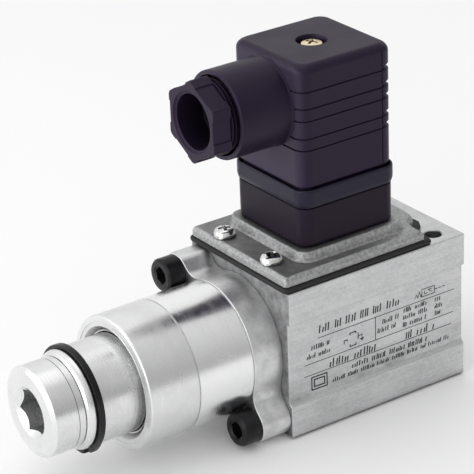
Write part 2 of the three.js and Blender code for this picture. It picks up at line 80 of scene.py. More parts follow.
# ---------------------------------------------------------------- node helpers
class Tree:
    """Short calls for building a node tree."""

    def __init__(self, tree):
        self.tree = tree

    def node(self, kind, **settings):
        node = self.tree.nodes.new(kind)
        for key, value in settings.items():
            setattr(node, key, value)
        return node

    def feed(self, socket, value):
        """Sets a number or tuple on the input, or links an output to it; colours get alpha 1."""
        if isinstance(value, tuple) and socket.type == "RGBA":
            value = (*value, 1)
        if isinstance(value, (int, float, tuple)):
            socket.default_value = value
        else:
            self.tree.links.new(value, socket)

    def math(self, operation, a, b=None, clamp=False):
        node = self.node("ShaderNodeMath", operation=operation, use_clamp=clamp)
        self.feed(node.inputs[0], a)
        if b is not None:
            self.feed(node.inputs[1], b)
        return node.outputs[0]

    def add(self, a, b):
        return self.math("ADD", a, b)

    def mul(self, a, b):
        return self.math("MULTIPLY", a, b)

    def split(self, vector):
        node = self.node("ShaderNodeSeparateXYZ")
        self.feed(node.inputs[0], vector)
        return node.outputs


class Material(Tree):
    def __init__(self, name):
        self.material = bpy.data.materials.new(name)
        self.material.use_nodes = True
        super().__init__(self.material.node_tree)
        coordinates = self.node("ShaderNodeTexCoord").outputs
        self.place, self.normal = coordinates["Object"], coordinates["Normal"]

    def noise_on(self, vector, detail, rough):
        node = self.node("ShaderNodeTexNoise")
        self.feed(node.inputs["Scale"], 1.0)
        self.feed(node.inputs["Detail"], detail)
        self.feed(node.inputs["Roughness"], rough)
        self.feed(node.inputs["Vector"], vector)
        return node.outputs["Fac"]

    def noise(self, scale, detail, rough):
        """Noise in object space; scale is cells per metre, for all axes or one each."""
        node = self.node("ShaderNodeMapping")
        self.feed(node.inputs["Scale"], scale if isinstance(scale, tuple) else (scale,) * 3)
        self.feed(node.inputs["Vector"], self.place)
        return self.noise_on(node.outputs["Vector"], detail, rough)

    def ramp(self, value, at, to):
        """Maps the range at onto the range to."""
        node = self.node("ShaderNodeMapRange")
        for key, number in zip(("From Min", "From Max", "To Min", "To Max"), (*at, *to)):
            self.feed(node.inputs[key], number)
        self.feed(node.inputs["Value"], value)
        return node.outputs["Result"]

    def mix(self, factor, a, b):
        node = self.node("ShaderNodeMix", data_type="RGBA")
        self.feed(node.inputs["Factor"], factor)
        self.feed(node.inputs[6], a)
        self.feed(node.inputs[7], b)
        return node.outputs[2]

    def bump(self, height, distance, strength):
        node = self.node("ShaderNodeBump")
        self.feed(node.inputs["Strength"], strength)
        self.feed(node.inputs["Distance"], distance)
        self.feed(node.inputs["Height"], height)
        return node.outputs["Normal"]

    def lathe_marks(self, per_metre=4200.0, per_radian=0.8):
        """Place along the piston axis, radius, and a little of the angle about it."""
        place = self.split(self.place)
        y = self.math("SUBTRACT", place["Y"], 0.0)
        z = self.math("SUBTRACT", place["Z"], AXIS_Z_M)
        radius = self.math("SQRT", self.add(self.mul(y, y), self.mul(z, z)))
        angle = self.math("ARCTAN2", y, z)
        node = self.node("ShaderNodeCombineXYZ")
        self.feed(node.inputs[0], self.mul(place["X"], per_metre))
        self.feed(node.inputs[1], self.mul(radius, per_metre))
        self.feed(node.inputs[2], self.mul(angle, per_radian))
        return node.outputs[0]

    def openness(self, reach, samples=4):
        node = self.node("ShaderNodeAmbientOcclusion", samples=samples)
        self.feed(node.inputs["Distance"], reach)
        return node.outputs["AO"]

    def paint_hollow_shade(self, colour, reach, at, most, shade_colour=(0.012, 0.012, 0.013)):
        """Paints shade into a colour where the surface is closed in: deep holes, slots and gaps."""
        return self.mix(self.ramp(self.openness(reach), at=at, to=(most, 0.0)), colour, shade_colour)

    def done(self, **inputs):
        shader = self.tree.nodes["Principled BSDF"]
        for key, value in inputs.items():
            self.feed(shader.inputs[key.replace("_", " ")], value)
        return self.material


def shade(colour, factor):
    return tuple(factor * x for x in colour)


# ---------------------------------------------------------------- materials
def brushed_block():
    """Aluminium brushed along X, with a sawn face towards -X whose darker tone is partly painted
    shade, and painted shade in its holes.
    """
    m = Material("brushed_aluminium")
    brush = m.noise((45, 2600, 2600), detail=4, rough=0.6)
    fine = m.noise((260, 7000, 7000), detail=2, rough=0.5)
    blotch = m.noise((90, 160, 160), detail=5, rough=0.62)
    grain = m.noise((1500, 2300, 2300), detail=3, rough=0.6)
    sawn = m.noise((900, 420, 420), detail=5, rough=0.66)
    end_face = m.ramp(m.split(m.normal)["X"], at=(-0.9, -0.6), to=(1, 0))
    z = m.split(m.place)["Z"]
    colour = m.mix(m.ramp(blotch, at=(0.32, 0.68), to=(0, 1)),
                   (0.50, 0.503, 0.508), (0.70, 0.703, 0.708))
    colour = m.mix(m.ramp(brush, at=(0.25, 0.75), to=(0, 0.5)), colour, (0.42, 0.423, 0.43))
    colour = m.mix(m.ramp(grain, at=(0.35, 0.75), to=(0, 0.45)), colour, (0.80, 0.803, 0.81))
    # darker in patches along the foot of the recess
    recess_foot_darkening = m.mul(m.ramp(z, at=(0.0105, 0.0165), to=(1, 0)),
                  m.ramp(z, at=(0.0085, 0.0098), to=(0, 1)))
    recess_foot_darkening = m.mul(recess_foot_darkening, m.ramp(blotch, at=(0.42, 0.62), to=(0, 0.7)))
    colour = m.mix(recess_foot_darkening, colour, (0.24, 0.24, 0.245))
    # the sawn end face towards -X: its mottle is real, its darker tone is partly painted shade
    sawn_and_shaded_colour = m.mix(m.ramp(sawn, at=(0.3, 0.7), to=(0, 1)),
                       (0.20, 0.201, 0.204), (0.46, 0.462, 0.466))
    # painted shade in holes, slots and gaps
    colour = m.paint_hollow_shade(m.mix(end_face, colour, sawn_and_shaded_colour), reach=0.004, at=(0.12, 0.62), most=0.97)
    rough = m.add(m.ramp(brush, at=(0.3, 0.7), to=(0.32, 0.46)),
                  m.ramp(blotch, at=(0.3, 0.7), to=(-0.03, 0.05)))
    rough = m.add(rough, m.mul(end_face, 0.12))
    height = m.add(brush, m.mul(fine, 0.5))
    height = m.add(height, m.mul(sawn, end_face))
    return m.done(Base_Color=colour, Metallic=1.0, Roughness=rough,
                  Normal=m.bump(height, distance=0.00002, strength=0.45))


def turned_base(name, base=(0.83, 0.832, 0.835)):
    """What the turned materials share: material, colour with painted shade in its hollows, roughness
    and ring noise.
    """
    m = Material(name)
    rings = m.noise_on(m.lathe_marks(), detail=3, rough=0.5)
    wide = m.noise(170, detail=4, rough=0.6)
    colour = m.mix(m.ramp(rings, at=(0.3, 0.7), to=(0, 0.16)), base, shade(base, 0.8))
    colour = m.mix(m.ramp(wide, at=(0.42, 0.75), to=(0, 0.5)), colour, shade(base, 0.8))
    rough = m.add(m.ramp(rings, at=(0.3, 0.7), to=(0.22, 0.30)),
                  m.ramp(wide, at=(0.35, 0.7), to=(-0.03, 0.06)))
    # painted shade: contact shadow darkening the hollows of the turned parts
    colour = m.paint_hollow_shade(colour, reach=0.0035, at=(0.1, 0.85), most=0.75, shade_colour=(0.16, 0.16, 0.163))
    return m, colour, rough, rings


def turned_spindle():
    m, colour, rough, rings = turned_base("turned_aluminium")
    return m.done(Base_Color=colour, Metallic=1.0, Roughness=rough,
                  Normal=m.bump(rings, distance=0.000010, strength=0.3))


def turned_housing():
    """Satin nose, polished middle and a duller flange, told apart by the place along the axis."""
    m, colour, rough, rings = turned_base("turned_housing")
    spot = m.noise(900, detail=4, rough=0.62)
    x = m.split(m.place)["X"]
    nose = m.ramp(x, at=(-0.0509, -0.0506), to=(1, 0))
    flange = m.ramp(x, at=(-0.0354, -0.0350), to=(0, 1))
    smut = m.noise(330, detail=5, rough=0.66)
    dull = m.mix(m.ramp(smut, at=(0.34, 0.7), to=(0, 1)),
                 (0.78, 0.782, 0.785), (0.56, 0.562, 0.566))
    dull = m.mix(m.ramp(spot, at=(0.4, 0.75), to=(0, 0.4)), dull, (0.84, 0.84, 0.845))
    colour = m.mix(flange, colour, dull)
    middle = m.math("SUBTRACT", 1.0, m.math("MAXIMUM", nose, flange))
    colour = m.mix(m.mul(middle, 0.75), colour, (0.96, 0.962, 0.965))
    rough = m.math("SUBTRACT", rough, m.mul(middle, 0.03))
    rough = m.add(rough, m.mul(flange, 0.13))
    rough = m.add(rough, m.mul(nose, 0.05))
    height = m.add(m.mul(rings, m.ramp(middle, at=(0, 1), to=(1, 0.3))),
                   m.mul(m.mul(spot, flange), 3.0))
    return m.done(Base_Color=colour, Metallic=1.0, Roughness=rough,
                  Normal=m.bump(height, distance=0.000010, strength=0.35))


def cast_grey():
    m = Material("cast_grey")
    fine = m.noise(1300, detail=5, rough=0.68)
    coarse = m.noise(380, detail=4, rough=0.6)
    openness = m.openness(0.0012, samples=6)
    # the smoother upper face, darkened as a painted reflection
    top = m.mul(m.ramp(m.split(m.normal)["Z"], at=(0.95, 0.995), to=(0, 1)),
                m.ramp(m.split(m.place)["X"], at=(-0.006, 0.006), to=(1, 0)))
    grey = m.mix(m.ramp(fine, at=(0.32, 0.7), to=(0, 1)),
                 (0.22, 0.222, 0.225), (0.60, 0.602, 0.605))
    grey = m.mix(m.ramp(coarse, at=(0.35, 0.7), to=(0, 0.4)), grey, (0.30, 0.302, 0.305))
    # painted reflection: a darker grey for the upper face
    painted_reflection_grey = m.mix(m.ramp(coarse, at=(0.35, 0.7), to=(0, 1)),
                     (0.17, 0.171, 0.173), (0.27, 0.271, 0.273))
    grey = m.mix(m.mul(top, 0.85), grey, painted_reflection_grey)
    # painted shade: hollows darken towards black
    grey = m.mix(m.ramp(openness, at=(0.45, 1.0), to=(0.75, 0.0)), grey, (0.05, 0.05, 0.052))
    height = m.add(fine, m.mul(coarse, 0.6))
    height = m.mul(height, m.ramp(top, at=(0, 1), to=(1, 0.35)))
    return m.done(Base_Color=grey, Metallic=0.85,
                  Roughness=m.ramp(fine, at=(0.3, 0.7), to=(0.44, 0.62)),
                  Normal=m.bump(height, distance=0.00014, strength=1.0))


def dark_metal(name, base, rough):
    m = Material(name)
    fine = m.noise(900, detail=4, rough=0.6)
    wide = m.noise(150, detail=3, rough=0.6)
    colour = m.mix(m.ramp(wide, at=(0.35, 0.75), to=(0, 0.6)), base, shade(base, 2.1))
    roughness = m.add(m.ramp(fine, at=(0.3, 0.7), to=(rough - 0.06, rough + 0.08)),
                      m.ramp(wide, at=(0.3, 0.7), to=(-0.03, 0.04)))
    return m.done(Base_Color=colour, Metallic=0.85, Roughness=roughness,
                  Normal=m.bump(fine, distance=0.00002, strength=0.6))


def metal(name, base, rough, scale=700.0, reach=0.0):
    """Plain bright metal; reach is how far painted shade reaches into its hollows, in metres."""
    m = Material(name)
    blotch = m.noise(scale, detail=4, rough=0.6)
    streak = m.noise((scale * 5, scale * 5, scale * 0.6), detail=3, rough=0.6)
    colour = m.mix(m.ramp(blotch, at=(0.3, 0.75), to=(0, 1)), base, shade(base, 0.82))
    roughness = m.add(m.ramp(blotch, at=(0.3, 0.7), to=(rough - 0.05, rough + 0.07)),
                      m.ramp(streak, at=(0.3, 0.7), to=(-0.03, 0.03)))
    if reach:
        # painted shade in the hollows
        colour = m.paint_hollow_shade(colour, reach, at=(0.3, 0.85), most=0.97)
    return m.done(Base_Color=colour, Metallic=1.0, Roughness=roughness,
                  Normal=m.bump(streak, distance=0.00001, strength=0.45))


def plastic(name, base, rough, grain, specular=0.5, depth=0.00002, tint=(1, 1, 1), reach=0.0,
            painted_lit_colour=None):
    """Moulding or rubber; grain is cells per metre and depth their bump height in metres."""
    m = Material(name)
    fine = m.noise(grain, detail=3, rough=0.6)
    wide = m.noise(90, detail=4, rough=0.55)
    colour = m.mix(m.ramp(wide, at=(0.3, 0.7), to=(0, 1)), base, shade(base, 1.22))
    colour = m.mix(m.ramp(fine, at=(0.3, 0.75), to=(0, 0.25)), colour, shade(base, 1.5))
    roughness = m.add(m.ramp(wide, at=(0.3, 0.7), to=(rough - 0.04, rough + 0.05)),
                      m.ramp(fine, at=(0.3, 0.7), to=(-0.03, 0.03)))
    if painted_lit_colour:
        # painted light: faces towards -X are a shade lighter, as if lit from that side
        facing = m.split(m.normal)["X"]
        colour = m.mix(m.ramp(facing, at=(-0.97, -0.55), to=(0.9, 0)), colour, painted_lit_colour)
    if reach:
        # painted shade: hollows fall off to black, and lose their specular with it
        hollow_shade_mask = m.ramp(m.openness(reach), at=(0.10, 0.42), to=(1.0, 0.0))
        colour = m.mix(hollow_shade_mask, colour, (0.0008, 0.0007, 0.001))
        specular = m.mul(m.math("SUBTRACT", 1.0, m.mul(hollow_shade_mask, 0.85)), specular)
    return m.done(Base_Color=colour, Roughness=roughness, Specular_IOR_Level=specular,
                  Specular_Tint=tint, Normal=m.bump(fine, distance=depth, strength=0.7))


MOULDING = dict(base=(0.0140, 0.0095, 0.0215), rough=0.40, grain=3800.0,
                tint=(0.86, 0.74, 1.0), reach=0.016)
MATERIALS = {
    "aluminium_block": brushed_block(),
    "aluminium_turned": turned_spindle(),
    "cast_plate": cast_grey(),
    "black_oxide": dark_metal("black_oxide", base=(0.021, 0.021, 0.0225), rough=0.36),
    "bright_zinc": metal("bright_zinc", (0.80, 0.80, 0.785), rough=0.14, scale=900, reach=0.0013),
    "yellow_zinc": metal("yellow_zinc", (0.93, 0.78, 0.52), rough=0.24, scale=900, reach=0.0011),
    "steel": metal("ground_steel", (0.58, 0.585, 0.59), rough=0.28),
    "spring_steel": dark_metal("spring_steel", base=(0.16, 0.16, 0.17), rough=0.33),
    # painted light on faces towards -X, painted shade in hollows
    "black_plastic": plastic("black_plastic", **MOULDING, specular=0.20,
                             painted_lit_colour=(0.038, 0.030, 0.053)),
    "inner_plastic": plastic("inner_plastic", (0.035, 0.034, 0.038), rough=0.42, grain=2600),
    "rubber": plastic("rubber", (0.012, 0.012, 0.013), rough=0.62, grain=1700, specular=0.35,
                      depth=0.00004),
    "seal_rubber": plastic("seal_rubber", (0.0105, 0.0090, 0.0185), rough=0.36, grain=2400,
                           specular=0.26, depth=0.00001, tint=(0.84, 0.80, 1.0)),
    "brass": metal("brass", (0.80, 0.60, 0.28), rough=0.28),
    "tinned": metal("tinned", (0.78, 0.78, 0.75), rough=0.27, scale=500),
    "lead_black": plastic("lead_black", (0.02, 0.02, 0.022), rough=0.3, grain=900),
    "lead_green": plastic("lead_green", (0.06, 0.20, 0.035), rough=0.32, grain=900),
}
INK = plastic("engraving_fill", (0.016, 0.016, 0.017), rough=0.7, grain=2500, specular=0.08)
HOUSING_FINISH = turned_housing()
NUT_FINISH = plastic("black_plastic_nut", **MOULDING, specular=0.19)
BASE_FINISH = plastic("black_plastic_base", (0.0110, 0.0076, 0.0136), rough=0.43, grain=3000.0,
                      specular=0.16, depth=0.00003, tint=(0.90, 0.78, 1.0), reach=0.006)


# ---------------------------------------------------------------- outlines
def rounded(points, closed=False, steps=5):
    """Replaces each point that carries a radius (third value) by an arc."""
    count, out = len(points), []
    for i, point in enumerate(points):
        radius = point[2] if len(point) > 2 else 0.0
        if radius <= 0 or (not closed and i in (0, count - 1)):
            out.append((point[0], point[1]))
            continue
        before, corner, after = (np.array(points[j % count][:2], float)
                                 for j in (i - 1, i, i + 1))
        u, v = before - corner, after - corner
        length_u, length_v = np.linalg.norm(u), np.linalg.norm(v)
        u, v = u / length_u, v / length_v
        angle = math.acos(max(-1, min(1, float(u @ v))))
        if angle > math.pi - 0.02:
            out.append((point[0], point[1]))
            continue
        # the arc never takes up more than about half of either side
        reach = min(radius / math.tan(angle / 2), 0.48 * length_u, 0.48 * length_v)
        radius = reach * math.tan(angle / 2)
        centre = corner + (u + v) / np.linalg.norm(u + v) * (radius / math.sin(angle / 2))
        start, end = corner + u * reach - centre, corner + v * reach - centre
        a0 = math.atan2(start[1], start[0])
        sweep = (math.atan2(end[1], end[0]) - a0 + math.pi) % (2 * math.pi) - math.pi
        for j in range(steps + 1):
            a = a0 + sweep * j / steps
            out.append((float(centre[0] + radius * math.cos(a)),
                        float(centre[1] + radius * math.sin(a))))
    return out


def offset(outline, distance):
    """Moves a counter-clockwise outline outwards (inwards if negative), with mitred corners."""
    points = np.array(outline, float)
    edges = np.roll(points, -1, 0) - points
    edges /= np.maximum(np.linalg.norm(edges, axis=1), 1e-12)[:, None]
    normals = np.stack([edges[:, 1], -edges[:, 0]], 1)
    mitre = normals + np.roll(normals, 1, 0)
    mitre /= np.maximum((mitre * normals).sum(1), 0.25)[:, None]
    return points + mitre * distance


def ccw(outline):
    points = np.array(outline, float)
    after = np.roll(points, -1, 0)
    area = (points[:, 0] * after[:, 1] - after[:, 0] * points[:, 1]).sum()
    return points if area > 0 else points[::-1]


def grown(raw, distance):
    """Outline grown (shrunk if negative) before its corners are rounded: it never crosses itself."""
    xy = np.array([p[:2] for p in raw], float)
    if (xy[:, 0] * np.roll(xy[:, 1], -1) - np.roll(xy[:, 0], -1) * xy[:, 1]).sum() < 0:
        raw, xy = list(reversed(raw)), xy[::-1]
    moved, out = offset(xy, distance), []
    for i, point in enumerate(raw):
        radius = point[2] if len(point) > 2 else 0.0
        if radius > 0:
            a, b = xy[i] - xy[i - 1], xy[(i + 1) % len(raw)] - xy[i]
            convex = a[0] * b[1] - a[1] * b[0] > 0
            radius = max(radius + distance if convex else radius - distance, 0.02)
        out.append((float(moved[i][0]), float(moved[i][1]), radius))
    return rounded(out, closed=True, steps=4)


def mirrored(half):
    """Closes half an outline of (x, y, radius) by its mirror image in y."""
    return half + [(x, -y, *rest) for x, y, *rest in reversed(half)]


def rounded_square(width, radius, steps):
    """Square about the plug centre."""
    half, out = width / 2 - radius, []
    for sx, sy, start in ((1, 1, 0), (-1, 1, 90), (-1, -1, 180), (1, -1, 270)):
        for i in range(steps + 1):
            a = math.radians(start + 90 * i / steps)
            out.append((PLUG_X + sx * half + radius * math.cos(a),
                        sy * half + radius * math.sin(a)))
    return out


def hexagon(across_flats, centre, turn):
    radius = across_flats / math.sqrt(3)
    angles = [math.radians(60 * i + turn) for i in range(6)]
    return [(centre[0] + radius * math.cos(a), centre[1] + radius * math.sin(a)) for a in angles]


# ---------------------------------------------------------------- solids
def to_row_frame(x, y, z):
    return (x + AXIS_X, y, z + AXIS_Z)


def raw_object(name, verts, faces):
    data = bpy.data.meshes.new(name)
    data.from_pydata([to_row_frame(*v) for v in verts], [], faces)
    ob = bpy.data.objects.new(name, data)
    COLLECTION.objects.link(ob)
    return ob


def mesh(name, verts, faces):
    ob = raw_object(name, verts, faces)
    bm = bmesh.new()
    bm.from_mesh(ob.data)
    bmesh.ops.remove_doubles(bm, verts=bm.verts, dist=1e-4)
    bmesh.ops.recalc_face_normals(bm, faces=bm.faces)
    bm.to_mesh(ob.data)
    bm.free()
    return ob


def lathe(name, profile, segments, axis="x", at=(0.0, 0.0), closed=False, steps=5):
    """Revolves (radius, place, rounding) points; at is (y, z) for axis x and (x, y) for axis z."""
    verts, rings, faces = [], [], []
    for radius, place in rounded(profile, closed, steps):
        count = 1 if radius < 1e-6 else segments
        rings.append(list(range(len(verts), len(verts) + count)))
        for i in range(count):
            a = 2 * math.pi * i / segments
            reach = 0 if count == 1 else radius
            u, v = at[0] + reach * math.cos(a), at[1] + reach * math.sin(a)
            verts.append((place, u, v) if axis == "x" else (u, v, place))
    for i in range(len(rings) if closed else len(rings) - 1):
        a, b = rings[i], rings[(i + 1) % len(rings)]
        if len(a) == 1 and len(b) == 1:
            continue
        for j in range(segments):
            k = (j + 1) % segments
            if len(a) == 1:
                faces.append((a[0], b[j], b[k]))
            elif len(b) == 1:
                faces.append((a[k], a[j], b[0]))
            else:
                faces.append((a[j], b[j], b[k], a[k]))
    return mesh(name, verts, faces)


def rod(radius, start, end, segments, axis="x", at=(0.0, 0.0)):
    """Plain cylinder to cut with."""
    profile = [(0, start), (radius, start), (radius, end), (0, end)]
    return lathe("tool", profile, segments, axis, at)


def loft(name, sections, axis="z", closed=False):
    """Joins (outline, level) sections; caps both ends, or closes into a ring."""
    verts, faces = [], []
    n, count = len(sections[0][0]), len(sections)
    for outline, level in sections:
        for u, v in outline:
            u, v = float(u), float(v)
            verts.append((u, v, level) if axis == "z" else (level, u, v))
    for i in range(count if closed else count - 1):
        a, b = i * n, ((i + 1) % count) * n
        for j in range(n):
            k = (j + 1) % n
            faces.append((a + j, a + k, b + k, b + j))
    if not closed:
        faces.append(tuple(range(n - 1, -1, -1)))
        faces.append(tuple(range((count - 1) * n, count * n)))
    return mesh(name, verts, faces)


def grown_loft(name, outline, levels, axis="z"):
    """levels: (growth, place)."""
    return loft(name, [(grown(outline, growth), place) for growth, place in levels], axis)


def square_loft(name, levels, steps, closed=False):
    """levels: (width, corner radius, z)."""
    return loft(name, [(rounded_square(w, r, steps), z) for w, r, z in levels], "z", closed)


def prism(name, outline, x0, x1, bevel=0.0, steps=3, start_bevel=None):
    """Extrusion along x with its end edges rounded by bevel."""
    outline = ccw(outline)
    if not bevel:
        return loft(name, [(outline, x0), (outline, x1)], "x")
    start = start_bevel or bevel
    turns = [math.pi / 2 * i / steps for i in range(steps + 1)]
    sections = [(offset(outline, -start * (1 - math.sin(t))), x0 + start * (1 - math.cos(t)))
                for t in turns]
    sections += [(offset(outline, -bevel * (1 - math.sin(t))), x1 - bevel * (1 - math.cos(t)))
                 for t in reversed(turns)]
    return loft(name, sections, "x")


def box(x0, x1, y0, y1, z0, z1):
    verts = [(x, y, z) for x in (x0, x1) for y in (y0, y1) for z in (z0, z1)]
    return mesh("tool", verts, [(0, 1, 3, 2), (4, 6, 7, 5), (0, 4, 5, 1),
                                (2, 3, 7, 6), (0, 2, 6, 4), (1, 5, 7, 3)])


def bake(ob):
    """Applies the modifiers."""
    graph = bpy.context.evaluated_depsgraph_get()
    data = bpy.data.meshes.new_from_object(ob.evaluated_get(graph), depsgraph=graph)
    ob.modifiers.clear()
    old = ob.data
    ob.data = data
    bpy.data.meshes.remove(old)


def boolean(ob, tools, operation):
    """Applies the tools to the object in turn, then removes them."""
    for i, tool in enumerate(tools):
        modifier = ob.modifiers.new(f"b{i}", "BOOLEAN")
        modifier.operation, modifier.solver, modifier.object = operation, "EXACT", tool
    bake(ob)
    for tool in tools:
        data = tool.data
        bpy.data.objects.remove(tool)
        bpy.data.meshes.remove(data)
    bm = bmesh.new()
    bm.from_mesh(ob.data)
    bmesh.ops.remove_doubles(bm, verts=bm.verts, dist=2e-4)
    bmesh.ops.dissolve_degenerate(bm, dist=1e-4, edges=bm.edges)
    bm.to_mesh(ob.data)
    bm.free()


def cut(ob, *tools):
    boolean(ob, tools, "DIFFERENCE")


def join(ob, *tools):
    boolean(ob, tools, "UNION")


def intersect(ob, *tools):
    boolean(ob, tools, "INTERSECT")


def cross_recess(centre, top, depth, half_length, half_width, turn):
    """Two crossed tapered blocks for the recess of a cross-head screw; turn in degrees."""
    tools = []
    levels = ((half_length, half_width, top + 0.4),
              (half_length * 0.96, half_width * 0.95, top),
              (half_length * 0.45, half_width * 0.6, top - depth))
    for quarter in range(2):
        a = math.radians(turn + 90 * quarter)
        cos, sin = math.cos(a), math.sin(a)
        verts = []
        for l, w, z in levels:
            for u, v in ((-l, -w), (l, -w), (l, w), (-l, w)):
                verts.append((centre[0] + u * cos - v * sin, centre[1] + u * sin + v * cos, z))
        faces = [(0, 1, 2, 3), (11, 10, 9, 8)]
        for q in (0, 4):
            faces += [(q + i, q + 4 + i, q + 4 + (i + 1) % 4, q + (i + 1) % 4) for i in range(4)]
        tools.append(mesh("tool", verts, faces))
    return tools


def finish(ob, body, slot, replaces=None, material=None, sharp=32, weighted=True):
    data = ob.data
    data.transform(Matrix.Scale(0.001, 4))
    data.materials.clear()
    data.materials.append(material or MATERIALS[slot])
    for polygon in data.polygons:
        polygon.material_index = 0
    data.polygons.foreach_set("use_smooth", [True] * len(data.polygons))
    data.set_sharp_from_angle(angle=math.radians(sharp))
    if weighted:
        modifier = ob.modifiers.new("wn", "WEIGHTED_NORMAL")
        modifier.keep_sharp = True
        modifier.weight = 80
    if body:
        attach(ob, body)
    if replaces:
        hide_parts(replaces)


# ---------------------------------------------------------------- housing block
# y, z, corner radius
BLOCK_SECTION = [
    (-BLOCK_HALF, -19.9, 0.7), (BLOCK_HALF, -19.9, 0.7), (BLOCK_HALF, -11.3, 0.3),
    (RECESS_HALF, -10.4, 0.4), (RECESS_HALF, 10.6, 0.18), (BLOCK_HALF, 10.6, 0.22),
    (BLOCK_HALF, 19.1, 0.35), (-BLOCK_HALF, 19.1, 0.35), (-BLOCK_HALF, 10.6, 0.22),
    (-RECESS_HALF, 10.6, 0.18), (-RECESS_HALF, -10.4, 0.4), (-BLOCK_HALF, -11.3, 0.3)]
END_ROUNDING = ((-0.4, 0), (-0.2, 0.05), (-0.05, 0.2), (0, 0.4))     # growth, depth from the end


def port_thread(start=-12.0, pitch=1.337, turns=8, minor=5.9, major=6.45):
    """Threaded bore that opens at the +X end."""
    profile = [(0, -12), (minor, -12)]
    for i in range(turns):
        x = start + i * pitch
        profile += [(minor, x + 0.25), (major, x + 0.62), (major, x + 0.78), (minor, x + 1.15)]
    return profile + [(minor, -1.25), (7.4, 0.2), (7.4, 0.6), (0, 0.6)]


def housing_block():
    levels = [(growth, BLOCK_END + depth) for growth, depth in END_ROUNDING]
    levels += [(growth, -depth) for growth, depth in reversed(END_ROUNDING)]
    block = grown_loft("housing_block_v", BLOCK_SECTION, levels, "x")
    tools = [
        lathe("tool", [(0, -55), (12.1, -55), (12.1, -54.2), (11.5, -53.4), (11.5, -33.2),
                       (0, -33.2)], 96),
        rod(9, -34, -13, 72),
        rod(9.8, -32.6, -31.05, 72),
        rod(4, -14, -11.5, 48),
        lathe("tool", port_thread(), 72),
        box(-48.2, -14, -11.4, 11.4, 12.9, 20.5),
        box(-38.6, -33.4, -2.4, 2.4, 9, 14),
        box(-60, -11.2, -25, 25, -25, -19.35),
    ]
    for s in SIDES:
        tools += [
            lathe("tool", [(0, -55), (2.55, -55), (2.55, -45.5), (0, -44.2)], 32,
                  at=(FLANGE_SCREW[0] * s, FLANGE_SCREW[1] * s)),
            lathe("tool", [(0, 7), (2.2, 8.2), (2.2, 18.85), (2.45, 19.15), (2.45, 20), (0, 20)],
                  40, "z", (-6.3, 15.5 * s)),
            lathe("tool", [(0, 13), (1.55, 13.6), (1.55, 20), (0, 20)], 24, "z",
                  (PLATE_SCREW[0], PLATE_SCREW[1] * s)),
            lathe("tool", [(0, 10.6), (1.0, 10.9), (1.0, 13.5), (0, 13.5)], 20, "z",
                  (-45.2, 4.75 * s)),
        ]
    tools.append(lathe("tool", [(0, 8), (1.5, 8.5), (1.5, 13.5), (0, 13.5)], 20, "z", (-19.5, 8)))
    cut(block, *tools)
    finish(block, "housing", "aluminium_block", "housing_block")


# ---------------------------------------------------------------- engraved marks
# x0, z0, x1, z1, width
RULES = [(-45.1, 4.45, -2.7, 4.3, 0.17), (-49.2, -1.75, -3.0, -1.9, 0.17),
         (-49.3, -4.8, -3.6, -5.05, 0.17), (-27.5, 4.35, -27.55, -1.8, 0.2)]
# x0, x1, z, height, seed, then width, pitch and slope where they differ from the usual
TICK_ROWS = [
    (-44.6, -20.4, 5.75, 1.9, 3, 0.36, 0.8, -0.004), (-47.0, -41.8, 1.85, 1.15, 5),
    (-48.4, -40.6, -0.3, 1.15, 7), (-25.3, -20.4, 1.95, 1.15, 9), (-26.8, -20.2, -0.2, 1.15, 11),
    (-18.6, -11.6, 2.85, 1.1, 13), (-18.8, -11.6, 0.95, 1.1, 17), (-18.9, -11.9, -1.05, 1.1, 19),
    (-8.7, -6.9, 2.75, 1.1, 21), (-8.8, -5.9, 0.85, 1.1, 23), (-8.7, -6.9, -1.05, 1.1, 27),
    (-41.6, -25.6, -4.45, 1.95, 29, 0.38, 0.9, -0.01), (-18.0, -8.9, -4.6, 1.95, 31, 0.38, 0.9),
    (-34.8, -11.0, -7.0, 1.3, 33, 0.34, 0.62, -0.012), (-40.8, -4.3, -8.9, 1.0, 37, 0.28, 0.5)]
# changeover contact: common with its blade, two fixed contacts, and the stem of an earth mark
CONTACT_SYMBOL = [
    (-37.2, 1.1, -36.2, 1.1, 0.26), (-37.2, 1.1, -37.2, 0.2, 0.26), (-36.2, 1.1, -36.2, 0.6, 0.2),
    (-35.4, 2.6, -33.6, 2.6, 0.28), (-35.4, 2.6, -35.4, 2.1, 0.28), (-33.6, 2.6, -33.6, 2.1, 0.28),
    (-35.4, -1.0, -33.6, -1.0, 0.28), (-35.4, -1.0, -35.4, -0.5, 0.28),
    (-33.6, -1.0, -33.6, -0.5, 0.28), (-32.9, 1.9, -32.9, 0.3, 0.26),
    (-32.9, 1.1, -31.7, 1.1, 0.2), (-31.7, 1.4, -31.7, 0.2, 0.2)]
# spring, box and pilot line of a pressure-actuated switch
SPRING_SYMBOL = [(-15.2, 5.5), (-14.6, 6.3), (-14.2, 5.3), (-13.7, 7.0), (-13.2, 5.2), (-12.9, 6.2)]
BOX_SYMBOL = [(-12.9, 5.3), (-8.9, 5.25), (-8.9, 7.25), (-12.9, 7.3)]
BOX_STROKES = [(-12.1, 5.9, -11.1, 5.9), (-12.1, 5.9, -12.1, 6.7), (-10.9, 6.7, -9.8, 5.9),
               (-10.9, 6.7, -9.8, 6.7), (-8.9, 6.2, -8.1, 6.2), (-7.7, 6.2, -6.9, 6.2),
               (-6.4, 6.2, -5.6, 6.2)]


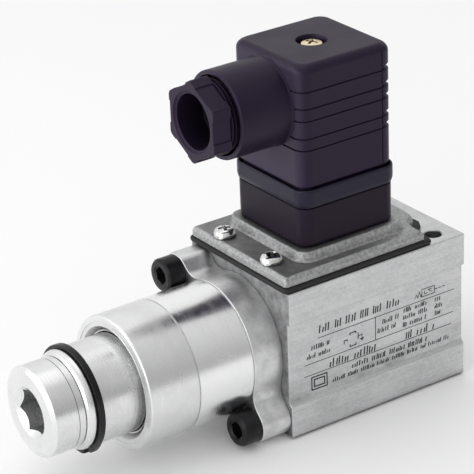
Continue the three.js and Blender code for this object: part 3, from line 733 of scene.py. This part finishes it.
class Engraving:
    """Filled strokes on the recessed -Y side, a hair proud of it."""
    outer, inner = -RECESS_HALF - 0.018, -RECESS_HALF + 0.12

    def __init__(self):
        self.verts, self.faces = [], []

    def stroke(self, x0, z0, x1, z1, width):
        along = np.array([x1 - x0, z1 - z0], float)
        along /= np.linalg.norm(along)
        side = np.array([-along[1], along[0]]) * width / 2
        a = np.array([x0, z0]) - along * width * 0.3
        b = np.array([x1, z1]) + along * width * 0.3
        corners = [a + side, b + side, b - side, a - side]
        i = len(self.verts)
        self.verts += [(c[0], y, c[1]) for y in (self.outer, self.inner) for c in corners]
        self.faces += [(i, i + 1, i + 2, i + 3), (i + 7, i + 6, i + 5, i + 4)]
        self.faces += [(i + j, i + 4 + j, i + 4 + (j + 1) % 4, i + (j + 1) % 4) for j in range(4)]

    def path(self, points, width):
        for a, b in zip(points, points[1:]):
            self.stroke(*a, *b, width)

    def ticks(self, x0, x1, z0, height, seed, width=0.3, pitch=0.55, slope=0.0):
        """A row of plain upright ticks in groups, standing for a line of print."""
        rnd = random.Random(seed)
        x, left = x0, rnd.randint(3, 7)
        while x < x1:
            z = z0 + slope * (x - x0)
            tick = height * rnd.choice((0.55, 0.8, 1.0))
            self.stroke(x, z, x + 0.12 * height, z + tick, width)
            x += pitch * rnd.choice((0.8, 1.0, 1.25))
            left -= 1
            if left <= 0:
                x += pitch * 1.5
                left = rnd.randint(3, 8)


def engraved_marks():
    """Rules, generic symbols and plain tick rows, no letters."""
    marks = Engraving()
    for rule in RULES:
        marks.stroke(*rule)
    for row in TICK_ROWS:
        marks.ticks(*row)
    for line in CONTACT_SYMBOL:
        marks.stroke(*line)
    for i in range(4):      # the narrowing bars of the earth mark
        z = 0.15 - 0.2 * i
        marks.stroke(-32.3 + 0.18 * i, z, -31.1 - 0.18 * i, z, 0.16)
    marks.path(SPRING_SYMBOL, 0.18)
    marks.path(BOX_SYMBOL + BOX_SYMBOL[:1], 0.19)
    for line in BOX_STROKES:
        marks.stroke(*line, 0.19)
    for inset in (0.0, 0.75):       # a plain double frame
        corners = [(-47.2 + inset, -9.0 + inset), (-42.6 - inset, -9.1 + inset),
                   (-42.6 - inset, -5.7 - inset), (-47.2 + inset, -5.6 - inset)]
        marks.path(corners + corners[:1], 0.32)
    ob = raw_object("engraved_marks", marks.verts, marks.faces)
    finish(ob, "housing", "aluminium_block", material=INK, sharp=20, weighted=False)


# ---------------------------------------------------------------- spring housing and its screws
def flange_distance(y, z, disc=17.1, lug=4.65, blend=3.4):
    """Signed distance to a disc with a lug at each screw, smoothly blended."""
    distance = math.hypot(y, z) - disc
    for s in SIDES:
        lug_y, lug_z = FLANGE_SCREW[0] * s, FLANGE_SCREW[1] * s
        along = (y * lug_y + z * lug_z) / (lug_y * lug_y + lug_z * lug_z)
        t = max(0.45, min(1.0, along))
        to_lug = math.hypot(y - lug_y * t, z - lug_z * t) - lug
        h = max(blend - abs(distance - to_lug), 0) / blend
        distance = min(distance, to_lug) - h * h * blend * 0.25
    return distance


def flange_outline(count=240, flat_top=19.0):
    """Finds the edge along each ray by halving."""
    out = []
    for i in range(count):
        a = 2 * math.pi * i / count
        low, high = 10.0, 30.0
        for _ in range(40):
            middle = (low + high) / 2
            if flange_distance(middle * math.cos(a), middle * math.sin(a)) < 0:
                low = middle
            else:
                high = middle
        out.append((low * math.cos(a), min(low * math.sin(a), flat_top)))
    return out


# radius, x, rounding
TUBE = [(0, -56), (16.9, -56), (16.9, -62.1), (16.62, -62.2), (16.62, -62.42), (16.9, -62.5),
        (16.9, -77.66), (16.62, -77.72), (16.62, -77.9), (16.75, -77.97), (16.75, -91.4, 0.55),
        (15.2, -91.4, 0.05), (15.15, -91.25), (14.15, -91.25, 0.05), (14.0, -91.35, 0.05),
        (0, -91.35)]
TUBE_BORE = [(0, -92), (14.2, -92), (14.2, -91.42), (12.9, -90.1, 0.1), (12.5, -90.1, 0.05),
             (12.5, -65.5), (11.5, -65.5), (11.5, -54.6, 0.0), (11.9, -53.9), (11.9, -53),
             (0, -53)]
FLANGE_SCREW_PROFILE = [
    (0, -67.1), (3.75, -67.1, 0.2), (4.25, -66.5, 0.4), (4.25, -62.25, 0.2), (3.9, -62.2),
    (2.45, -62.2, 0.1), (2.45, -46.5), (2.0, -46), (0, -46)]


def spring_housing():
    housing = prism("spring_housing_v", flange_outline(), -62.2, BLOCK_END, bevel=0.12,
                    start_bevel=0.16)
    join(housing, lathe("tool", TUBE, 160, steps=4))
    tools = [lathe("tool", TUBE_BORE, 128, steps=3)]
    for s in SIDES:
        tools.append(rod(2.75, -63, -53, 32, at=(FLANGE_SCREW[0] * s, FLANGE_SCREW[1] * s)))
    cut(housing, *tools)
    finish(housing, "housing", "aluminium_turned", "spring_housing", HOUSING_FINISH)


def flange_screws():
    """Socket-head cap screws."""
    for name, s in (("flange_screw_upper", 1), ("flange_screw_lower", -1)):
        at = (FLANGE_SCREW[0] * s, FLANGE_SCREW[1] * s)
        screw = lathe(name + "_v", FLANGE_SCREW_PROFILE, 72, at=at, steps=4)
        cut(screw,
            lathe("tool", [(0, -68), (2.75, -68), (2.75, -67.2), (2.2, -66.7), (0, -66.4)], 48,
                  at=at),
            prism("tool", hexagon(4.0, at, turn=18), -68, -64.5))
        finish(screw, "housing", "black_oxide", name)


# ---------------------------------------------------------------- spindle, snap ring, spring
SPINDLE = [
    (0, -114.3), (9.9, -114.3, 0.15), (11.25, -113.65, 0.35), (11.25, -107.75), (11.08, -107.68),
    (11.08, -107.56), (11.25, -107.5), (11.25, -105.95, 0.05), (11.0, -105.88), (11.0, -105.72),
    (11.3, -105.66, 0.05), (11.85, -105.15, 0.6), (12.2, -104.5, 0.6), (12.3, -104.0, 0.3),
    (12.3, -103.62, 0.1), (11.6, -103.62), (11.6, -101.6), (12.3, -101.6, 0.1),
    (12.3, -76.6, 0.1), (11.7, -76), (0, -76)]


def adjusting_spindle():
    spindle = lathe("adjusting_spindle_v", SPINDLE, 160)
    cut(spindle,
        lathe("tool", [(0, -115), (7.1, -115), (6.45, -114.35), (4.85, -112.75), (0, -112.75)],
              96),
        prism("tool", hexagon(10, (0, 0), turn=-10), -115, -103.3),
        lathe("tool", [(0, -104), (5.0, -103.6), (0, -100.9)], 64))
    finish(spindle, "spindle", "aluminium_turned", "adjusting_spindle")


def snap_ring(inner=11.75, outer=13.2, middle=-117.5, gap=11, steps=96, nick=0.16, lug=0.45):
    """Open ring, widened by lug towards its ends; angles in degrees."""
    a0, a1 = math.radians(middle + gap / 2), math.radians(middle + 360 - gap / 2)
    angles = [a0 + (a1 - a0) * i / steps for i in range(steps + 1)]
    nicks = [nick if i in (0, steps) else 0 for i in range(steps + 1)]
    outline = []
    for a, inset in zip(angles, nicks):
        near = min(a - a0, a1 - a) / math.radians(24)
        radius = outer + lug * (0.5 + 0.5 * math.cos(math.pi * min(1.0, near))) - inset
        outline.append((radius * math.cos(a), radius * math.sin(a)))
    for a, inset in zip(reversed(angles), nicks):
        outline.append(((inner + inset) * math.cos(a), (inner + inset) * math.sin(a)))
    ring = prism("snap_ring_v", outline, -103.4, -101.8, bevel=0.12, steps=2)
    finish(ring, "spindle_stop", "black_oxide", "snap_ring")


def spring_plate():
    plate = lathe("spring_plate_front_v", [
        (0, -75.95), (10.9, -75.95, 0.3), (10.9, -73.2, 0.3), (6.1, -73.2, 0.4), (5.6, -70, 0.5),
        (0, -70)], 64)
    finish(plate, "spindle_stop", "steel", "spring_plate_front")


COIL_RADIUS, WIRE_RADIUS, COIL_TURNS = 8.05, 1.5, 6
COIL_START, COIL_END = -71.62, -39.02       # x of the wire's ends
CLOSED_PART, CLOSED_RISE = 0.08, 1.2        # share of the wire closed at each end, its length in x
SPLIT = 0.84                                # share of the wire where the two pieces meet


def coil(name, t0, t1, steps, around=16):
    """The stretch of the spring between the shares t0 and t1 of its wire."""
    verts, faces = [], []
    length = COIL_END - COIL_START
    for i in range(steps + 1):
        t = t0 + (t1 - t0) * i / steps
        a = 2 * math.pi * COIL_TURNS * t
        cos, sin = math.cos(a), math.sin(a)
        middle = min(1, max(0, (t - CLOSED_PART) / (1 - 2 * CLOSED_PART)))
        x = (COIL_START + CLOSED_RISE * min(1, t / CLOSED_PART)
             + (length - 2 * CLOSED_RISE) * middle
             + CLOSED_RISE * max(0, (t - (1 - CLOSED_PART)) / CLOSED_PART))
        radial = np.array([0, cos, sin])
        tangent = np.array([length / (2 * math.pi * COIL_TURNS),
                            -COIL_RADIUS * sin, COIL_RADIUS * cos])
        tangent /= np.linalg.norm(tangent)
        across = np.cross(tangent, radial)
        centre = np.array([x, COIL_RADIUS * cos, COIL_RADIUS * sin])
        wire = WIRE_RADIUS * (0.92 if t in (0.0, 1.0) else 1.0)
        for j in range(around):
            b = 2 * math.pi * j / around
            verts.append(tuple(centre + wire * (radial * math.cos(b) + across * math.sin(b))))
    for i in range(steps):
        a, b = i * around, (i + 1) * around
        for j in range(around):
            k = (j + 1) % around
            faces.append((a + j, a + k, b + k, b + j))
    faces.append(tuple(range(around - 1, -1, -1)))
    faces.append(tuple(range(steps * around, (steps + 1) * around)))
    return mesh(name, verts, faces)


def compression_spring():
    """The long -X part closes up behind the spindle; the last turn is a piece of its own."""
    spring = coil("compression_spring_v", 0.0, SPLIT, 300)
    finish(spring, None, "spring_steel", "compression_spring")
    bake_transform(spring)
    tail = coil("compression_spring_rear_turn", SPLIT, 1.0, 80)
    finish(tail, None, "spring_steel")
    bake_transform(tail)


# ---------------------------------------------------------------- connector gasket and plate
# x, y, corner radius of the -Y half
GASKET_OUTLINE = mirrored([
    (-54.65, -19.85, 1.0), (-10.55, -19.7, 0.35), (-10.25, -18.4, 0.3), (-10.2, -16.6, 1.2),
    (-10.1, -14.6, 1.2), (-9.1, -13.0, 1.0), (-7.3, -11.6, 0.8), (-6.15, -9.7, 0.8),
    (-6.2, -7.8, 0.8), (-6.9, -6.0, 1.5)])
PLATE_OUTLINE = mirrored([
    (-54.4, -19.6, 0.9), (-12.1, -19.4, 0.3), (-12.25, -16.8, 0.6), (-11.75, -13.7, 1.2),
    (-10.9, -12.1, 0.8), (-9.1, -11.2, 0.9), (-8.1, -9.7, 1.0), (-7.6, -6.5, 2.0)])
# growth, z
GASKET_LEVELS = ((-0.25, 19.1), (0.10, 19.3), (0.26, 19.6), (0.30, 19.85), (0.26, 20.1),
                 (0.10, 20.4), (-0.3, 20.6))
PLATE_LEVELS = ((-0.15, 20.6), (0, 20.75), (0, 22.0), (-0.08, 22.2), (-0.62, 22.86),
                (-0.78, 23.0), (-1.0, 23.08), (-1.25, 23.1))
# width, corner radius, z
PLATE_RIM = [
    (30.0, 3.0, 22.0), (33.2, 4.4, 23.05), (32.7, 4.15, 23.14), (32.2, 3.9, 23.36),
    (31.85, 3.7, 23.75), (31.75, 3.65, 24.1), (31.3, 3.4, 25.1), (31.1, 3.3, 25.42),
    (30.6, 3.1, 25.58), (30.0, 2.9, 25.6)]
PLATE_SCREW_TOP = 25.25
PLATE_SCREW_PROFILE = [
    (0, 14), (1.1, 14), (1.5, 14.5), (1.5, 23.1), (2.72, 23.1, 0.15), (2.75, 24.0, 0.7),
    (2.3, 24.85, 0.9), (1.2, 25.2, 0.8), (0, PLATE_SCREW_TOP)]


def plate_screw_holes(radius, top):
    return [rod(radius, 18, top, 32, "z", (PLATE_SCREW[0], PLATE_SCREW[1] * s)) for s in SIDES]


def connector_gasket():
    gasket = grown_loft("connector_gasket_v", GASKET_OUTLINE, GASKET_LEVELS)
    cut(gasket, box(-43.0, -18.2, -12.4, 12.4, 18, 22), *plate_screw_holes(1.8, top=22))
    finish(gasket, "housing", "rubber", "connector_gasket")


def connector_plate():
    plate = grown_loft("connector_plate_v", PLATE_OUTLINE, PLATE_LEVELS)
    join(plate, square_loft("tool", PLATE_RIM, 12))
    cut(plate, box(PLUG_X - 12, PLUG_X + 12, -12, 12, 18, 27), *plate_screw_holes(1.7, top=27))
    finish(plate, "housing", "cast_plate", "connector_plate", sharp=40)


def plate_screws():
    for name, s, turn in (("plate_screw_front", -1, 22), ("plate_screw_rear", 1, 68)):
        at = (PLATE_SCREW[0], PLATE_SCREW[1] * s)
        screw = lathe(name + "_v", PLATE_SCREW_PROFILE, 64, "z", at, steps=6)
        cut(screw, *cross_recess(at, PLATE_SCREW_TOP, depth=1.5, half_length=1.75,
                                 half_width=0.47, turn=turn))
        finish(screw, "housing", "bright_zinc", name)


# ---------------------------------------------------------------- plug base, pins and band
# width, corner radius, z
PLUG_BASE = [
    (26.6, 2.6, 25.62), (27.5, 3.0, 25.75), (28.0, 3.25, 26.2), (28.15, 3.3, 26.9),
    (28.2, 3.3, 35.45), (27.9, 3.2, 35.62), (27.2, 2.9, 35.7), (27.2, 2.9, 35.9),
    (22.5, 1.6, 35.9), (22.0, 1.5, 36.0), (21.5, 1.5, 36.4), (21.3, 1.5, 44.2),
    (20.9, 1.3, 44.8), (20.3, 1.0, 45.0)]
PROFILE_GASKET = [
    (21.8, 1.6, 36.0), (27.2, 3.0, 35.9), (28.3, 3.35, 35.95), (28.6, 3.5, 36.2),
    (29.0, 3.65, 36.9), (29.1, 3.7, 37.3), (29.1, 3.7, 39.9), (29.05, 3.7, 40.2),
    (28.85, 3.6, 40.45), (28.55, 3.5, 40.58), (28.3, 3.4, 40.5), (27.95, 3.3, 40.2),
    (27.9, 3.3, 38.45), (27.4, 3.1, 38.4), (22.4, 1.8, 38.4), (21.85, 1.6, 38.8)]


def pin_slots(play, z0, z1):
    return [box(PLUG_X + dx - hx - play, PLUG_X + dx + hx + play, dy - hy - play, dy + hy + play,
                z0, z1) for _, _, dx, dy, hx, hy in PINS]


def connector_base():
    base = square_loft("connector_base_v", PLUG_BASE, 10)
    cut(base, square_loft("tool", [(21, 1.5, 25), (21, 1.5, 33.5)], 6),
        lathe("tool", [(0, 38.5), (1.55, 38.6), (1.55, 44.6), (2.0, 45.1), (2.0, 46), (0, 46)],
              32, "z", (PLUG_X, 0)),
        *pin_slots(0.02, 30, 50))
    finish(base, "housing", "black_plastic", "connector_base", BASE_FINISH)


def contact_pins():
    """Flat pins with tapered tips."""
    for name, _, dx, dy, hx, hy in PINS:
        taper_x, taper_y = (0.24, 0.9) if hx < hy else (0.9, 0.24)
        verts = []
        for tx, ty, z in ((0, 0, 31), (0, 0, 52.4), (taper_x, taper_y, 54)):
            x0, x1 = PLUG_X + dx - hx + tx, PLUG_X + dx + hx - tx
            y0, y1 = dy - hy + ty, dy + hy - ty
            verts += [(x0, y0, z), (x1, y0, z), (x1, y1, z), (x0, y1, z)]
        faces = [(3, 2, 1, 0), (8, 9, 10, 11)]
        for q in (0, 4):
            faces += [(q + i, q + (i + 1) % 4, q + 4 + (i + 1) % 4, q + 4 + i) for i in range(4)]
        pin = mesh(name + "_v", verts, faces)
        bevel = pin.modifiers.new("bv", "BEVEL")
        bevel.width, bevel.segments, bevel.limit_method = 0.09, 2, "ANGLE"
        bake(pin)
        finish(pin, "housing", "tinned", name, sharp=50)


def profile_gasket():
    band = square_loft("profile_gasket_v", PROFILE_GASKET, 12, closed=True)
    finish(band, "housing", "seal_rubber", "profile_gasket", sharp=45)


# ---------------------------------------------------------------- cable socket
# inset of the wall, its corner radius' inset, distance from the groove's middle
GROOVE = ((0, 0, 0.24), (0.16, 0.06, 0.18), (0.62, 0.25, 0.10))
GLAND_NECK = [
    (0, -58.8), (10.35, -58.8), (10.9, -58.8, 0.45), (10.9, -45.0), (10.95, -44.8),
    (11.2, -44.5), (11.2, -43.5), (10.9, -43.0), (10.9, -36), (0, -36)]


def hood_levels():
    """Foot, grooved walls and rounded shoulder of the hood: width, corner radius, z."""
    width, corner = HOOD_WIDTH, HOOD_CORNER
    levels = [(25.9, 2.5, 38.5), (26.3, 2.7, 38.6), (26.3, 2.7, 41.0), (27.3, 3.05, 41.12),
              (width, corner, 41.35)]
    for z in HOOD_GROOVES:
        levels += [(width - w, corner - r, z - away) for w, r, away in GROOVE]
        levels += [(width - w, corner - r, z + away) for w, r, away in reversed(GROOVE)]
    shoulder, steps = 2.1, 8
    for i in range(steps + 1):
        t = math.pi / 2 * i / steps
        inset = shoulder * (1 - math.cos(t))
        levels.append((width - 2 * inset, max(corner - 0.45 * inset, 0.9),
                       69.5 + shoulder * math.sin(t)))
    return levels


def deepen_groove(hood, z):
    """Cuts a deeper notch around the +X end of the hood, away from the gland."""
    width, corner = HOOD_WIDTH, HOOD_CORNER
    notch = square_loft("tool", [(width + 3, corner, z - 0.25), (width + 3, corner, z + 1.3)], 12)
    core = square_loft("tool", [
        (width + 0.02, corner, z - 0.6), (width + 0.02, corner, z - 0.2),
        (width - 1.25, corner - 0.3, z + 0.15), (width - 1.25, corner - 0.3, z + 0.45),
        (width + 0.02, corner, z + 1.25), (width + 0.02, corner, z + 1.8)], 12)
    cut(notch, core)
    intersect(notch, box(PLUG_X + 10.4, PLUG_X + 20, -20, 20, z - 2, z + 3))
    cut(hood, notch)


def connector_hood():
    hood = square_loft("connector_hood_v", hood_levels(), 12)
    join(hood, lathe("tool", GLAND_NECK, 128, at=GLAND))
    tools = [
        square_loft("tool", [(25.0, 2.0, 37.5), (25.0, 2.0, 38.4), (23.6, 1.6, 39.2),
                             (23.6, 1.6, 67.6)], 8),
        lathe("tool", [(0, -60), (10.0, -60), (9.9, -58.9), (9.7, -58.5, 0.1), (9.7, -56.2),
                       (8.5, -56.2), (8.5, -35.5), (0, -35.5)], 96, at=GLAND),
        lathe("tool", [(0, 69.2), (3.6, 69.2), (3.6, 71.1), (3.95, 71.65), (3.95, 73), (0, 73)],
              72, "z", (PLUG_X, 0)),
        rod(1.7, 66, 70, 32, "z", (PLUG_X, 0)),
    ]
    wall = HOOD_WIDTH / 2
    for s in SIDES:     # upright seams in the two side walls
        y0, y1 = sorted(((wall - 0.28) * s, (wall + 1) * s))
        tools.append(box(PLUG_X + 10.15, PLUG_X + 10.4, y0, y1, 39.0, 70.5))
    cut(hood, *tools)
    for z in HOOD_GROOVES:
        deepen_groove(hood, z)
    finish(hood, "cable_socket", "black_plastic", "connector_hood", sharp=38)


def terminal_insert():
    insert = square_loft("terminal_insert_v", [
        (22.2, 1.2, 45.6), (22.8, 1.5, 45.9), (22.8, 1.5, 55.7), (22.2, 1.2, 56)], 6)
    cut(insert, rod(1.8, 45, 57, 32, "z", (PLUG_X, 0)), *pin_slots(0.25, 44, 54.6))
    finish(insert, "cable_socket", "inner_plastic", "terminal_insert")


def clamp_screws():
    for _, name, dx, dy, _, _ in PINS:
        x = PLUG_X + dx
        screw = lathe(name + "_v", [(0, 56.02), (1.9, 56.02), (1.9, 57.4, 0.2), (1.6, 57.8, 0.2),
                                    (0, 57.8)], 40, "z", (x, dy))
        cut(screw, box(x - 2.2, x + 2.2, dy - 0.3, dy + 0.3, 57.1, 58.5))
        finish(screw, "cable_socket", "bright_zinc", name)


def fixing_screw():
    top = 71.2
    screw = lathe("fixing_screw_v", [
        (0, 39), (1.1, 39), (1.45, 39.4, 0.1), (1.45, 69.25), (2.9, 69.25, 0.15),
        (3.0, 70.4, 0.35), (2.5, 70.95, 0.6), (1.2, 71.15, 0.5), (0, top)], 64, "z", (PLUG_X, 0))
    cut(screw, *cross_recess((PLUG_X, 0), top, depth=1.4, half_length=1.75, half_width=0.36,
                             turn=28))
    finish(screw, "socket_screw", "yellow_zinc", "fixing_screw")


# ---------------------------------------------------------------- gland
def nut_outline(across_flats=18.2, sink=0.3):
    """Hexagon with corners at top and bottom; the middle of each flat lies lower by sink."""
    out, radius = [], across_flats / math.sqrt(3)
    for i in range(6):
        start, end = (np.array([math.cos(a), math.sin(a)]) * radius
                      for a in (math.radians(60 * i + 30), math.radians(60 * i + 90)))
        normal = (start + end) / np.linalg.norm(start + end)
        # share along the flat, sunk or not
        for t, sunk in ((0.02, 0), (0.245, 0), (0.255, 1), (0.5, 1), (0.775, 1), (0.785, 0),
                        (0.98, 0)):
            point = start + (end - start) * t - normal * sink * sunk
            out.append((point[0], point[1] + GLAND_Z))
    return out


def nut_shank(root=8.3, crest=8.78, ridge=-58.95):
    """Shank with two collars and one thread ridge."""
    return [
        (0, -61.5), (root, -61.5), (root, -60.62), (9.25, -60.5), (9.3, -60.3), (8.5, -60.0),
        (8.5, -59.85), (9.3, -59.55), (9.3, -59.35), (root, -59.1), (root, -59.0),
        (root, ridge), (root, ridge + 0.35), (crest, ridge + 0.72), (crest, ridge + 0.9),
        (root, ridge + 1.25), (root, -52.8), (7.9, -52.3), (0, -52.3)]


def gland_nut():
    outline = ccw(nut_outline())
    levels = ((-0.16, -65.8), (-0.04, -65.72), (0, -65.55), (0, -61.0), (-0.12, -60.72),
              (-0.4, -60.6))
    nut = loft("gland_nut_v", [(offset(outline, growth), x) for growth, x in levels], "x")
    intersect(nut, lathe("tool", [(0, -65.85), (10.05, -65.85), (10.7, -65.2), (10.7, -60.5),
                                  (0, -60.5)], 128, at=GLAND))
    join(nut, lathe("tool", nut_shank(), 96, at=GLAND))
    cut(nut, lathe("tool", [
        (0, -66.5), (7.9, -66.5), (7.7, -65.9), (7.25, -65.35, 0.1), (6.85, -65.15, 0.15),
        (6.8, -58.0), (6.5, -57.5), (6.5, -51), (0, -51)], 96, at=GLAND))
    finish(nut, "gland_turn", "black_plastic", "gland_nut", NUT_FINISH, sharp=30)


def gland_rings():
    # name, body, slot, inner and outer radius, x0, x1, roundings of the inner and outer edges
    # at x0 and x1 alike, but for the washer's bore
    for name, body, slot, inner, outer, x0, x1, bore_edge, rim_edge in (
            ("gland_washer", "gland_slide", "steel", 5.5, 8.2, -52.2, -51.7, 0.05, 0.1),
            ("gland_grommet", "cable_socket", "rubber", 4.5, 8.3, -50.9, -46, 0.4, 0.4)):
        ring = lathe(name + "_v", [(inner, x0, bore_edge), (outer, x0, rim_edge),
                                   (outer, x1, rim_edge), (inner, x1, bore_edge)],
                     64, at=GLAND, closed=True)
        finish(ring, body, slot, name)


def carried_over_nodes():
    """Gives the CAD nodes that stay their finish and softened edges."""
    slots = {part["node"]: part["material_slot"] for part in frame["record"]["subparts"]}
    for name, ob in frame["nodes"].items():
        if ob.hide_render:
            continue
        ob.data.materials.clear()
        ob.data.materials.append(MATERIALS[slots[name]])
        bevel = ob.modifiers.new("bv", "BEVEL")
        bevel.width, bevel.segments = 0.0001, 2
        bevel.limit_method, bevel.angle_limit = "ANGLE", math.radians(35)


# ---------------------------------------------------------------- stage, light, camera (metres)
def floor(half=3, z=-0.0002):
    data = bpy.data.meshes.new("floor")
    corners = [(-half, -half, z), (half, -half, z), (half, half, z), (-half, half, z)]
    data.from_pydata(corners, [], [(0, 1, 2, 3)])
    ob = bpy.data.objects.new("floor", data)
    COLLECTION.objects.link(ob)
    material = bpy.data.materials.new("floor")
    material.use_nodes = True
    inputs = material.node_tree.nodes["Principled BSDF"].inputs
    inputs["Base Color"].default_value = (0.95, 0.95, 0.95, 1)
    inputs["Roughness"].default_value = 0.75
    inputs["Specular IOR Level"].default_value = 0.2
    data.materials.append(material)


def studio_world(ambient=0.36, above=0.42, behind=0.50, left=0.38):
    """A bright room: lighter towards +Z, +Y and -X."""
    world = bpy.data.worlds.new("studio")
    bpy.context.scene.world = world
    world.use_nodes = True
    tree = Tree(world.node_tree)
    background = world.node_tree.nodes["Background"].inputs
    direction = tree.split(tree.node("ShaderNodeTexCoord").outputs["Generated"])
    from_above = tree.math("MULTIPLY", direction["Z"], above, clamp=True)
    from_behind = tree.math("MULTIPLY", direction["Y"], behind, clamp=True)
    from_left = tree.math("MULTIPLY", direction["X"], -left, clamp=True)
    strength = tree.add(tree.add(from_above, ambient), tree.add(from_behind, from_left))
    tree.feed(background["Strength"], strength)
    background["Color"].default_value = (1.0, 1.0, 1.0, 1)


def area_light(name, place, width, height, power, target=(0.0, 0.0, 0.03)):
    light = bpy.data.lights.new(name, "AREA")
    light.shape, light.size, light.size_y = "RECTANGLE", width, height
    light.energy = power
    ob = bpy.data.objects.new(name, light)
    COLLECTION.objects.link(ob)
    ob.location = place
    ob.rotation_mode = "QUATERNION"
    ob.rotation_quaternion = (Vector(target) - Vector(place)).to_track_quat("-Z", "Y")


def camera():
    data = bpy.data.cameras.new("cam")
    data.lens, data.sensor_width, data.sensor_fit = 182.96, 36.0, "HORIZONTAL"
    data.clip_start, data.clip_end = 0.01, 20
    ob = bpy.data.objects.new("cam", data)
    COLLECTION.objects.link(ob)
    right = Vector((0.81406428, -0.57972138, -0.03496378))
    up = Vector((0.27145289, 0.32658041, 0.90534997))
    forward = Vector((0.51343225, 0.74650409, -0.42322449))
    rotation = Matrix((right, up, -forward)).transposed().to_4x4()
    ob.matrix_world = Matrix.Translation((-0.323647, -0.431049, 0.291289)) @ rotation
    bpy.context.scene.camera = ob


for build in (
        housing_block, engraved_marks, spring_housing, flange_screws, adjusting_spindle,
        snap_ring, spring_plate, compression_spring, connector_gasket, connector_plate,
        plate_screws, connector_base, contact_pins, profile_gasket, connector_hood,
        terminal_insert, clamp_screws, fixing_screw, gland_nut, gland_rings,
        carried_over_nodes, floor, studio_world):
    build()
area_light("top", (0.0, 0.1, 0.8), width=0.6, height=0.6, power=0.7)
area_light("left", (-0.80, 0.06, 0.20), width=1.1, height=0.65, power=4.2)
camera()
bpy.context.scene.view_settings.view_transform = "Standard"

bpy.context.view_layer.update()
